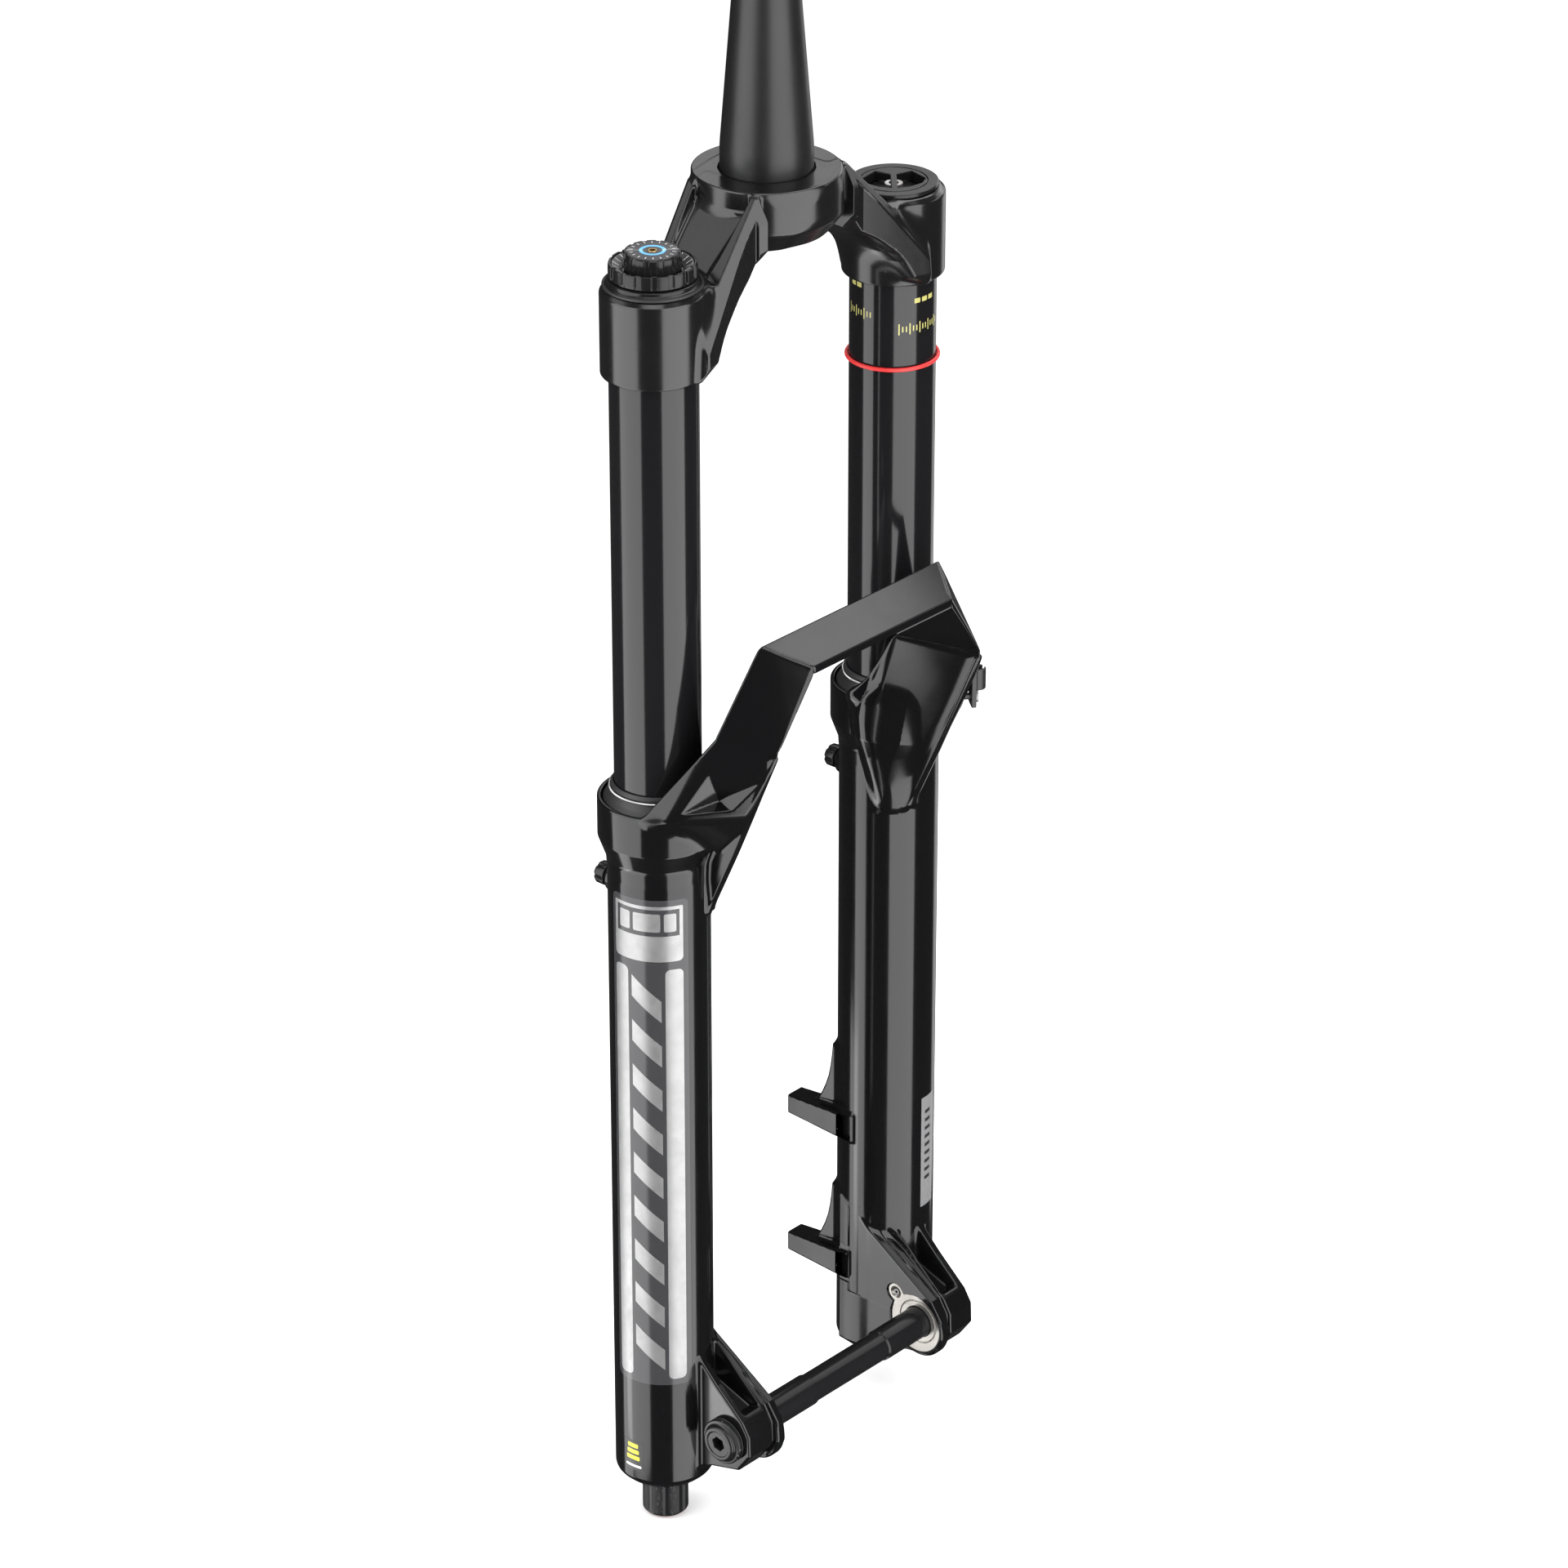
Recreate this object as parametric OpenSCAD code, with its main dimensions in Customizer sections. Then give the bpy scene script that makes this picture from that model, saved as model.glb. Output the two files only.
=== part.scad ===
// Single-crown suspension fork for a 29 inch trail bicycle.
// Origin: crown race seat, on the steerer axis. +Z runs up the steerer, -Y is the front of the
// bicycle, -X is the rider's right (damper leg) and +X the rider's left (air spring and brake leg).

/* [Steerer] */
// Length of the steerer above the crown race seat
steerer_len = 200; // [180:1:260]
// Outer diameter of the upper, straight part of the steerer
steerer_d = 28.6; // [28.4:0.1:28.8]
// Outer diameter of the crown race seat
race_seat_d = 39.8; // [39.6:0.1:40]
// Height at which the taper ends and the straight part starts
taper_top = 80; // [60:1:110]

/* [Crown and legs] */
// Distance between the two leg axes
leg_spacing = 153; // [150:1:158]
// Distance of the leg axes in front of the steerer axis
leg_forward = 5; // [3:0.5:8]
// Outer diameter of the stanchions
stanchion_d = 38; // [36:0.5:38]
// Outer diameter of the crown sockets
socket_d = 45; // [44.5:0.5:46]
// Depth of the lower edge of the crown sockets below the race seat
socket_bottom = 67.7; // [64:0.1:72]

/* [Wheel] */
// Distance from the crown race seat down to the wheel axle
axle_to_crown = 576.5; // [570:0.5:590]
// Distance of the wheel axle in front of the steerer axis
axle_offset = 44; // [42:1:51]
// Width of the hub between the dropouts
hub_width = 110; // [109:0.5:110]
// Diameter of the wheel axle
axle_d = 15; // [14.9:0.1:15]

/* [Brake] */
// Spacing of the two caliper bolts
post_spacing = 74.2; // [74:0.1:74.4]
// Diameter of the tapped holes for the caliper bolts
post_hole_d = 5; // [4.8:0.1:5.2]

/* [Lower legs] */
// Outer diameter of the lower legs
lower_d = 45; // [44.5:0.5:46]
// Depth of the seal housing's upper rim below the race seat
rim_depth = 264; // [260:1:268]
// Depth of the foot of the lower legs below the race seat
foot_depth = 607.7; // [605:0.1:612]

/* [Hidden] */

$fn = 96;
fit = 0.01;          // radial gap of parts that are fixed in each other
run = 0.04;          // radial gap of parts that slide or turn in each other
leg_x = leg_spacing / 2;
leg_y = -leg_forward;
stan_r = stanchion_d / 2;
stan_bore_r = 16.5;
stan_top = -34;
stan_bottom = -415;
rim_z = -rim_depth;
foot_z = -foot_depth;
foot_inner_z = foot_z + 10.7;
lower_r = lower_d / 2;
ring_r = 26.5;
seal_r = 24;
bore_r = 20;
socket_r = socket_d / 2;
socket_top = -28.8;
race_r = race_seat_d / 2;
press_r = race_r + 0.6;
disc_r = 32;
axle_y = -axle_offset;
axle_z = -axle_to_crown;
axle_r = axle_d / 2;
hub_x = hub_width / 2;
dropout_x = 78;
rib_w = 4.5;
post_z = -527.3;
post_y = 36.5;
post_x = 59.5;
post_w = 10;
relief_z = -314;
shaft_r = 5;
air_bolt_r = 4;
knob_base_z = -24.8;
dial_seat_z = -22;       // floor of the high-speed knob
dial_top_z = -14.2;      // face of the low-speed knob
valve_r = 3.9;           // threaded end of the air valve
valve_seat_z = -31.6;    // top of the air top cap
cap_bottom = -60;        // lower face of the damper top cap
seal_head_z = -412;      // lower face of the seal heads in the stanchions
shaft_top = -372;        // upper end of the air and damper shafts
seal_seat_z = -276;      // lower edge of the wiper seals
foam_seat_z = -282;      // shoulder under the foam rings
knob_bottom = foot_z - 21.7;
insert_screw_y = -30.5;
insert_screw_z = -566;
// place and direction of the hose guide's screw on the ridge of the air leg's upright
guide_hole = [70.3, -53.5, -256];
guide_turn = [0, 90, -39];
guide_seat = 2;
guide_screw_r = 1.5;
guide_plate = 2.2;

// one piece on each leg
module on_legs() {
    for (sx = [-1, 1]) translate([sx * leg_x, leg_y, 0]) children();
}

module on_damper_leg() {
    translate([-leg_x, leg_y, 0]) children();
}

module on_air_leg() {
    translate([leg_x, leg_y, 0]) children();
}

// ring with a round bore, between two heights
module ring(r_out, r_in, z0, z1) {
    translate([0, 0, z0]) difference() {
        cylinder(r = r_out, h = z1 - z0);
        translate([0, 0, -1]) cylinder(r = r_in, h = z1 - z0 + 2);
    }
}

// solid round bar between two heights
module bar(r, z0, z1) {
    translate([0, 0, z0]) cylinder(r = r, h = z1 - z0);
}

// ring of round section
module torus(r, section_r, z) {
    translate([0, 0, z]) rotate_extrude() translate([r, 0]) circle(r = section_r, $fn = 24);
}

// shape drawn in the Y-Z plane and given a thickness along X from x0 to x1
module side_plate(x0, x1) {
    translate([x0, 0, 0]) rotate([90, 0, 90]) linear_extrude(x1 - x0) children();
}

// shape drawn in the X-Z plane and given a thickness along Y from y0 to y1
module front_plate(y0, y1) {
    translate([0, y1, 0]) rotate([90, 0, 0]) linear_extrude(y1 - y0) children();
}

// shallow grip flutes round a knob
module flutes(count, r, cut_r, z0, z1) {
    for (i = [0 : count - 1]) rotate([0, 0, i * 360 / count])
        translate([r, 0, z0]) cylinder(r = cut_r, h = z1 - z0, $fn = 24);
}

// ring of six oil ports through a piston
module oil_ports(z0, z1) {
    for (i = [0 : 5]) rotate([0, 0, i * 60]) translate([8.5, 0, z0])
        cylinder(r = 1.6, h = z1 - z0, $fn = 24);
}

// ---------------------------------------------------------------- upper unit

// half outline of the crown's arms, seen from the front
arm_outline = [[0, -2], [28, -2], [56, -30], [70, -31], [70, -66], [62, -62], [58, -54],
    [50.5, -45.5], [38, -36], [27, -30], [14, -26.5], [0, -26]];

module crown_arms() {
    arm_front = -22.5;
    arm_rear = 19;
    arm_rear_end = 9;
    intersection() {
        union() for (sx = [0, 1]) mirror([sx, 0, 0])
            front_plate(arm_front, arm_rear) polygon(arm_outline);
        translate([0, 0, -80]) linear_extrude(90) polygon([[-74, arm_front], [74, arm_front],
            [74, arm_rear_end], [30, arm_rear], [-30, arm_rear], [-74, arm_rear_end]]);
    }
}

module arm_pockets() {
    for (sx = [0, 1]) mirror([sx, 0, 0]) {
        front_plate(-17, 10) polygon([[33, 6], [33, -14], [52, -35], [60, -35], [60, 6]]);
        front_plate(-30, -20) polygon([[32.5, -12], [55, -35.5], [55, -50], [32.5, -31]]);
    }
}

module crown_socket() {
    edge = 0.8;
    rotate_extrude() polygon([[0, -socket_bottom], [socket_r - edge, -socket_bottom],
        [socket_r, -socket_bottom + edge], [socket_r, socket_top - 2.4],
        [socket_r - 2, socket_top], [0, socket_top]]);
}

module crown() {
    color([0.07, 0.07, 0.075]) difference() {
        union() {
            translate([0, 0, -18.2]) cylinder(r = disc_r, h = 18.2);
            translate([0, 0, -26]) cylinder(r = 25, h = 10);
            difference() {
                crown_arms();
                arm_pockets();
            }
            on_legs() crown_socket();
        }
        on_legs() bar(stan_r + fit, -socket_bottom - 1, socket_top + 1);
        bar(press_r + fit, -30, 1);
    }
}

module steerer_tube() {
    wall = 2.4;
    r = steerer_d / 2;
    color([0.1, 0.1, 0.1]) rotate_extrude() polygon([[16.5, -26], [press_r, -26],
        [press_r, 0], [race_r, 0], [race_r, 10],
        [r, taper_top], [r, steerer_len - 0.5], [r - 0.5, steerer_len], [r - wall, steerer_len],
        [r - wall, taper_top - 4], [16.5, 4]]);
}

module stanchion() {
    difference() {
        bar(stan_r, stan_bottom, stan_top);
        bar(stan_bore_r, stan_bottom - 1, stan_top + 1);
    }
}

module damper_stanchion() {
    color([0.06, 0.06, 0.065]) on_damper_leg() stanchion();
}

module air_stanchion() {
    color([0.06, 0.06, 0.065]) on_air_leg() stanchion();
}

module damper_top_cap() {
    color([0.05, 0.05, 0.05]) on_damper_leg() rotate_extrude() difference() {
        polygon([[0, cap_bottom], [stan_bore_r - fit, cap_bottom], [stan_bore_r - fit, stan_top],
            [stan_r - fit, stan_top], [stan_r - fit, socket_top], [20.3, socket_top],
            [20.3, -27.2], [19.4, -26.4], [19.2, -25.2], [6, -25.2], [6, -19.6], [0, -19.6]]);
        translate([0, -61]) square([2.6 + fit, 42]);
        translate([0, -46]) square([3 + run, 27]);
        translate([20.6, -28]) circle(r = 0.75, $fn = 24);
    }
}

module damper_cap_oring() {
    color([0.03, 0.03, 0.03]) on_damper_leg() torus(20.6, 0.7, -28);
}

module high_speed_knob() {
    top = -18.5;
    color([0.06, 0.06, 0.06]) on_damper_leg() difference() {
        rotate_extrude() polygon([[6 + run, knob_base_z], [18.1, knob_base_z],
            [18.7, knob_base_z + 0.6], [18.7, top - 0.8], [18, top], [17.3, top],
            [17.3, dial_seat_z], [6 + run, dial_seat_z]]);
        flutes(16, 19.9, 1.9, knob_base_z - 1, top + 1);
    }
}

module high_speed_dial_ring() {
    color([0.55, 0.55, 0.56]) on_damper_leg() rotate_extrude()
        polygon([[12.6, dial_seat_z + fit], [17.3 - fit, dial_seat_z + fit], [17.3 - fit, -18.7],
            [16.6, -18.7], [12.6, -21]]);
}

module low_speed_knob() {
    color([0.05, 0.05, 0.05]) on_damper_leg() difference() {
        union() {
            rotate_extrude() polygon([[0, -19.4], [6.4, -19.4], [6.4, -21.5], [12.2, -21.5],
                [12.2, -14], [11.5, -13.6], [10.9, -13.6], [10.9, dial_top_z], [0, dial_top_z]]);
            bar(3, -45.8, -19);
        }
        flutes(10, 13.1, 1.6, -23, -13);
        bar(2, -17, -12);
    }
}

module low_speed_dial_insert() {
    color([0.35, 0.35, 0.36]) on_damper_leg() ring(10.9 - fit, 3.2, dial_top_z + fit, -13.5);
}

module low_speed_centre_screw() {
    color([0.7, 0.5, 0.2]) on_damper_leg() difference() {
        union() {
            bar(3.1, dial_top_z + fit, -13.4);
            bar(2 - fit, -17 + fit, -14);
        }
        translate([0, 0, -15.5]) cylinder(r = 1.45, h = 4, $fn = 6);
    }
}

module air_top_cap() {
    color([0.12, 0.12, 0.12]) on_air_leg() difference() {
        union() {
            bar(stan_bore_r - fit, -58, -32);
            bar(stan_r - fit, stan_top + fit, valve_seat_z);
        }
        bar(6 + fit, -59, -31);
        bar(8.6 + run, -35.6, -31);
    }
}

module air_valve_body() {
    color([0.72, 0.72, 0.7]) on_air_leg() difference() {
        union() {
            bar(6, -58, -40);
            bar(valve_r, -41, -28.2);
        }
        bar(2.2, -59, -27);
    }
}

module air_valve_core() {
    color([0.75, 0.6, 0.3]) on_air_leg() union() {
        bar(2.2 - fit, -48, -31);
        bar(0.8, -32, -28.8);
    }
}

// one of the three finger pockets between the grip's spokes
module cap_pocket() {
    inner = 2.2;
    outer = 13.2;
    intersection() {
        bar(outer, -28.9, -26);
        translate([inner / cos(60), 0, -29]) linear_extrude(3)
            polygon([[0, 0], [outer * 2 * cos(58), outer * 2 * sin(58)],
                [outer * 3, 0], [outer * 2 * cos(58), -outer * 2 * sin(58)]]);
    }
}

module air_cap() {
    color([0.07, 0.07, 0.07]) on_air_leg() difference() {
        rotate_extrude() polygon([[0, -26.9], [14.2, -26.9], [14.6, -27.3], [15, -26.9],
            [17.2, -26.7], [18, -27.5], [18, -30.4], [16.8, -31.2], [8.6, -31.2], [8.6, -35.2],
            [valve_r + run, -35.2],
            [valve_r + run, -28.1], [0, -28.1]]);
        for (i = [0 : 2]) rotate([0, 0, -131.5 + 60 + i * 120]) cap_pocket();
    }
}

module air_cap_oring() {
    color([0.03, 0.03, 0.03]) on_air_leg() ring(16.4, 15.3, valve_seat_z + fit, valve_seat_z + 0.4 - fit);
}

module volume_spacers() {
    color([0.75, 0.35, 0.1]) on_air_leg() for (z = [-70, -82]) ring(14, 5, z, z + 11.9);
}

module damper_tube() {
    color([0.6, 0.6, 0.62]) on_damper_leg() ring(15, 14, seal_head_z + 8, cap_bottom - fit);
}

module compression_piston() {
    color([0.7, 0.7, 0.72]) on_damper_leg() difference() {
        bar(14 - fit, -122, -110);
        bar(2.6 + fit, -123, -109);
        oil_ports(-123, -109);
    }
}

module compression_rod() {
    color([0.65, 0.65, 0.66]) on_damper_leg() bar(2.6, -126, -46.2);
}

module floating_piston() {
    color([0.2, 0.25, 0.5]) on_damper_leg() ring(14 - run, 2.6 + run, -104, -94);
}

module damper_seal_head() {
    color([0.5, 0.5, 0.52]) on_damper_leg() union() {
        ring(14 - fit, shaft_r + run, seal_head_z + 8, seal_head_z + 20);
        ring(stan_bore_r - fit, shaft_r + run, seal_head_z, seal_head_z + 8 - fit);
    }
}

module air_seal_head() {
    color([0.5, 0.5, 0.52]) on_air_leg()
        ring(stan_bore_r - fit, shaft_r + run, seal_head_z, seal_head_z + 18);
}

module seal_head_circlips() {
    color([0.6, 0.6, 0.6]) on_legs() difference() {
        ring(stan_bore_r - fit, 13.6, seal_head_z - 1.4, seal_head_z - fit);
        translate([-2.5, 5, -415]) cube([5, 15, 5]);
    }
}

module sag_ring() {
    color([0.85, 0.2, 0.2]) on_air_leg() torus(stan_r + run + 0.85, 0.85, -107.2);
}

// ---------------------------------------------------------------- lower casting

// outline of one lower leg, from the axis outwards
leg_profile = [[0, foot_z], [19, foot_z], [21.4, foot_z + 1.2], [lower_r, foot_z + 3.6],
    [lower_r, -302], [22.9, -298], [24, -293], [26, -286], [ring_r, -283], [ring_r, rim_z + 0.8],
    [ring_r - 0.8, rim_z], [0, rim_z]];

// round corner of the arch, as a small ball
module knot(p, r) {
    translate(p) sphere(r = r, $fn = 20);
}

module arch_bar() {
    hull() for (sx = [-1, 1]) {
        knot([sx * 57.6, -48.6, -189.4], 2);
        knot([sx * 45.5, -65, -197.6], 2);
        knot([sx * 49, -46, -194.5], 2);
    }
}

module arch_upright_top() {
    hull() {
        knot([57.9, -48.6, -189.8], 2.2);
        knot([45.5, -64.6, -198], 2.2);
        knot([50.5, -45, -198], 2);
        knot([80, -43.4, -226], 2.2);
        knot([64, -63.4, -231], 2.4);
        knot([60, -63.8, -231], 2.4);
        knot([52, -31, -228], 2);
    }
}

module arch_upright_base() {
    hull() {
        knot([80, -43.4, -226], 2.2);
        knot([64, -63.4, -231], 2.4);
        knot([60, -63.8, -231], 2.4);
        knot([52, -31, -228], 2);
        knot([52, -10, -266], 2);
        knot([97, -18, -268], 2.5);
        knot([92.5, -30, -265], 2);
        knot([72, -48.5, -263], 1.5);
        knot([68, -40, -282], 2.5);
        knot([80, -24, -284], 2);
    }
}

// inverted pyramid sunk into the outer face of an upright, above its shelf
module arch_pocket() {
    hull() {
        knot([95.5, -31, -259.5], 0.6);
        knot([87, -44, -237], 0.6);
        knot([69, -62.5, -240.5], 0.6);
        knot([75.5, -51.5, -258.5], 0.6);
        knot([74.5, -40.5, -252.5], 0.6);
    }
}

module arch_gusset() {
    side_plate(65.5, 69.5) polygon([[-64, -234], [-42, -285], [-27.5, -318], [-20, -318],
        [-20, -262], [-38, -240]]);
}

// dropout of one side, drawn for +X
module dropout() {
    inner_plate = [[0, -529], [-51.8, -563.6], [-58.6, -573], [-50, -590.5], [-24, -600],
        [0, -604]];
    outer_plate = [[-15, -536], [-28.5, -542.5], [-38, -552], [-52.5, -565.5], [-50, -590],
        [-24, -599], [0, -603]];
    core_plate = [[0, -545], [-20, -556], [-44, -564], [-50, -590], [-24, -599], [0, -603]];
    side_plate(hub_x, hub_x + rib_w) polygon(inner_plate);
    side_plate(hub_x + rib_w, dropout_x - rib_w) polygon(core_plate);
    side_plate(dropout_x - rib_w, dropout_x) polygon(outer_plate);
    translate([hub_x, axle_y, axle_z]) rotate([0, 90, 0]) cylinder(r = 15, h = dropout_x - hub_x);
}

// one brake post with its curved web, drawn round the height of its bolt
module brake_post() {
    side_plate(post_x - post_w / 2, post_x + post_w / 2) polygon([[post_y, -5], [post_y, 4.4],
        [post_y - 0.6, 5], [0, 6.4], [-6, 6.4], [-6, -6.4], [0, -6.4], [post_y - 0.6, -5]]);
    side_plate(post_x - 3, post_x + 3) polygon([[23, 4], [19, 10.5], [15.5, 17], [12.8, 28],
        [12.3, 37], [0, 37], [0, 0], [23, 0]]);
}

module relief_boss() {
    translate([0, 22, relief_z]) rotate([90, 0, 0]) cylinder(r1 = 6.4, r2 = 7.6, h = 22);
}

module casting_solid() {
    on_legs() rotate_extrude() polygon(leg_profile);
    on_legs() translate([0, leg_forward, 0]) relief_boss();
    arch_bar();
    for (sx = [0, 1]) mirror([sx, 0, 0]) {
        arch_upright_top();
        arch_upright_base();
        arch_gusset();
        dropout();
    }
    for (sz = [-1, 1]) translate([0, 0, post_z + sz * post_spacing / 2]) brake_post();
    at_hose_guide() translate([0, 0, -9]) cylinder(r = 4, h = 9);
}

module casting_bores() {
    for (sx = [0, 1]) mirror([sx, 0, 0]) arch_pocket();
    on_legs() {
        bar(bore_r, foot_inner_z, -260);
        bar(seal_r, foam_seat_z, rim_z + 1);
        bar(seal_r + 0.6, rim_z, -180);
    }
    on_damper_leg() bar(shaft_r + 0.1, foot_z - 1, foot_inner_z + 1);
    on_air_leg() bar(air_bolt_r + 0.2, foot_z - 1, foot_inner_z + 1);
    // through hole in the damper leg's dropout, insert seat in the air leg's dropout
    translate([-dropout_x - 1, axle_y, axle_z]) rotate([0, 90, 0])
        cylinder(r = axle_r + 0.05, h = dropout_x - hub_x + 2);
    translate([hub_x - 1, axle_y, axle_z]) rotate([0, 90, 0])
        cylinder(r = 10 + fit, h = 19);
    insert_outline(hub_x - 1, hub_x + 2.5, fit);
    translate([hub_x, insert_screw_y, insert_screw_z]) rotate([0, 90, 0])
        cylinder(r = 1.5, h = 9);
    for (sz = [-1, 1]) translate([post_x, post_y + 1, post_z + sz * post_spacing / 2])
        rotate([90, 0, 0]) cylinder(r = post_hole_d / 2, h = 19);
    for (sx = [-1, 1]) translate([sx * leg_x, 23, relief_z]) rotate([90, 0, 0])
        cylinder(r = 4 + run, h = 9);
    at_hose_guide() translate([0, 0, -7]) cylinder(r = guide_screw_r, h = 8);
    at_hose_guide() translate([-15, -5.2, 0]) cube([20, 10.4, 12]);
}

module lower_casting() {
    color([0.05, 0.05, 0.055]) difference() {
        casting_solid();
        casting_bores();
    }
}

// flat outline of the axle insert's plate with its ear
module insert_outline(x0, x1, gap) {
    translate([x0, -42.6, -578]) rotate([0, 90, 0]) cylinder(r = 14.6 + gap, h = x1 - x0);
    translate([x0, insert_screw_y, insert_screw_z]) rotate([0, 90, 0])
        cylinder(r = 4.6 + gap, h = x1 - x0);
}

module axle_insert() {
    color([0.8, 0.8, 0.78]) difference() {
        union() {
            insert_outline(hub_x, hub_x + 2.5, 0);
            translate([hub_x, axle_y, axle_z]) rotate([0, 90, 0]) cylinder(r = 10, h = 18);
        }
        translate([hub_x - 1, axle_y, axle_z]) rotate([0, 90, 0])
            cylinder(r = axle_r + run, h = 17.5);
        translate([hub_x - 1, insert_screw_y, insert_screw_z]) rotate([0, 90, 0])
            cylinder(r = 1.6, h = 5);
    }
}

module insert_screw() {
    color([0.3, 0.3, 0.3]) translate([hub_x + 0.4, insert_screw_y, insert_screw_z])
        rotate([0, 90, 0]) difference() {
            cylinder(r = 1.5 - fit, h = 8);
            translate([0, 0, -1]) cylinder(r = 0.8, h = 2.2, $fn = 6);
        }
}

module wiper_seals() {
    color([0.1, 0.1, 0.1]) on_legs() rotate_extrude() polygon([[stan_r + run, seal_seat_z],
        [seal_r - fit, seal_seat_z], [seal_r - fit, -265.2], [23.3, -264], [20.4, -260.6],
        [20.4, -257.6], [19.6, -256.6], [stan_r + run, -257]]);
}

module garter_springs() {
    color([0.7, 0.7, 0.7]) on_legs() torus(20.4 + 0.62, 0.6, -259.4);
}

module foam_rings() {
    color([0.55, 0.5, 0.35]) on_legs() 
        ring(seal_r - fit, stan_r + run, foam_seat_z + fit, seal_seat_z - fit);
}

module upper_bushings() {
    color([0.45, 0.4, 0.3]) on_legs() ring(bore_r - fit, stan_r + run, -300, -284);
}

module lower_bushings() {
    color([0.45, 0.4, 0.3]) on_legs() ring(bore_r - fit, stan_r + run, -400, -384);
}

// ---------------------------------------------------------------- air spring and damper

module air_shaft() {
    color([0.7, 0.7, 0.72]) on_air_leg() difference() {
        bar(shaft_r, foot_inner_z, shaft_top);
        bar(air_bolt_r + fit, foot_inner_z - 1, -575);
    }
}

module air_piston() {
    color([0.3, 0.3, 0.32]) on_air_leg() difference() {
        bar(stan_bore_r - run, shaft_top + fit, shaft_top + 14);
        ring(20, 14.6, shaft_top + 5, shaft_top + 9);
    }
}

module air_piston_seal() {
    color([0.04, 0.04, 0.04]) on_air_leg() torus(15.45, 0.83, shaft_top + 7);
}

module top_out_bumper() {
    color([0.1, 0.1, 0.1]) on_air_leg() ring(10, shaft_r + fit, -392, shaft_top - 2);
}

module damper_shaft() {
    color([0.7, 0.7, 0.72]) on_damper_leg() ring(shaft_r, 2.5, foot_z - 9, shaft_top);
}

module rebound_piston() {
    color([0.75, 0.7, 0.55]) on_damper_leg() difference() {
        bar(13.2, shaft_top + fit, shaft_top + 12);
        bar(2.5, shaft_top - 1, shaft_top + 8);
        oil_ports(shaft_top - 2, shaft_top + 14);
    }
}

module rebound_glide_ring() {
    color([0.85, 0.85, 0.8]) on_damper_leg() ring(14 - run, 13.2 + fit, shaft_top + 2, shaft_top + 10);
}

module bottom_out_bumper() {
    color([0.1, 0.1, 0.1]) on_legs() ring(10, shaft_r + fit, foot_inner_z, foot_inner_z + 8);
}

module air_foot_bolt() {
    color([0.15, 0.15, 0.15]) on_air_leg() difference() {
        union() {
            bar(air_bolt_r, foot_z - 1.2, -578);
            bar(6.5, foot_z - 6.4, foot_z - 1.2 - fit);
        }
        translate([0, 0, foot_z - 7]) cylinder(r = 2.9, h = 4, $fn = 6);
    }
}

module damper_foot_nut() {
    color([0.15, 0.15, 0.15]) on_damper_leg() difference() {
        translate([0, 0, foot_z - 8]) cylinder(r = 8.4, h = 6.8 - fit, $fn = 6);
        bar(shaft_r + fit, foot_z - 9, foot_z);
    }
}

module crush_washers() {
    color([0.7, 0.4, 0.25]) {
        on_air_leg() ring(7.6, air_bolt_r + fit, foot_z - 1.2, foot_z - fit);
        on_damper_leg() ring(7.6, shaft_r + fit, foot_z - 1.2, foot_z - fit);
    }
}

module rebound_knob() {
    color([0.05, 0.05, 0.05]) on_damper_leg() difference() {
        rotate_extrude() polygon([[2.4 + fit, knob_bottom], [9.9, knob_bottom],
            [10.7, knob_bottom + 1.2],
            [10.7, foot_z - 1], [10.2, foot_z - 0.5], [9, foot_z - 0.5], [9, foot_z - 11],
            [2.4 + fit, foot_z - 11]]);
        flutes(8, 11.9, 1.9, knob_bottom - 1, foot_z - 8);
        translate([0, 0, knob_bottom]) ring(8.6, 7.6, -1, 0.8);
    }
}

module rebound_knob_ring() {
    color([0.8, 0.1, 0.1]) on_damper_leg()
        ring(8.6 - fit, 7.6 + fit, knob_bottom, knob_bottom + 0.8 - fit);
}

module rebound_rod() {
    color([0.7, 0.7, 0.7]) on_damper_leg() bar(2.4, foot_z - 21, shaft_top - 2);
}

// ---------------------------------------------------------------- axle, buttons, hose guide

module axle() {
    head_x = -dropout_x;
    color([0.06, 0.06, 0.06]) translate([0, axle_y, axle_z]) rotate([0, 90, 0]) difference() {
        union() {
            translate([0, 0, head_x - 6]) rotate_extrude() polygon([[0, 0], [6.5, 0],
                [8.6, 0.8], [10.8, 3.2], [10.8, 6 - fit], [axle_r, 6 - fit], [axle_r, 56],
                [axle_r - 0.5, 56.5], [axle_r - 0.5, 111], [axle_r, 111.5], [axle_r, 152.8],
                [axle_r - 1, 153.8], [0, 153.8]]);
        }
        translate([0, 0, head_x - 7]) cylinder(r = 3.46, h = 9, $fn = 6);
        translate([0, 0, head_x + 10]) cylinder(r = 4.6, h = 142);
    }
}

// notched round button of a pressure relief valve
module relief_button(sx) {
    translate([sx * leg_x, 0, relief_z]) rotate([-90, 0, 0]) difference() {
        union() {
            translate([0, 0, 16.2]) cylinder(r = 4, h = 9);
            translate([0, 0, 24]) cylinder(r = 5.3, h = 4.9);
            translate([0, 0, 28.9]) cylinder(r1 = 5.3, r2 = 4.6, h = 0.7);
        }
        for (i = [0 : 5]) rotate([0, 0, i * 60 + 30]) translate([5.9, 0, 23])
            cylinder(r = 1.2, h = 8, $fn = 24);
        translate([0, 0, 28.6]) ring(3.4, 2.6, 0, 2);
    }
}

module relief_button_damper() {
    color([0.06, 0.06, 0.06]) relief_button(-1);
}

module relief_button_air() {
    color([0.06, 0.06, 0.06]) relief_button(1);
}

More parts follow.
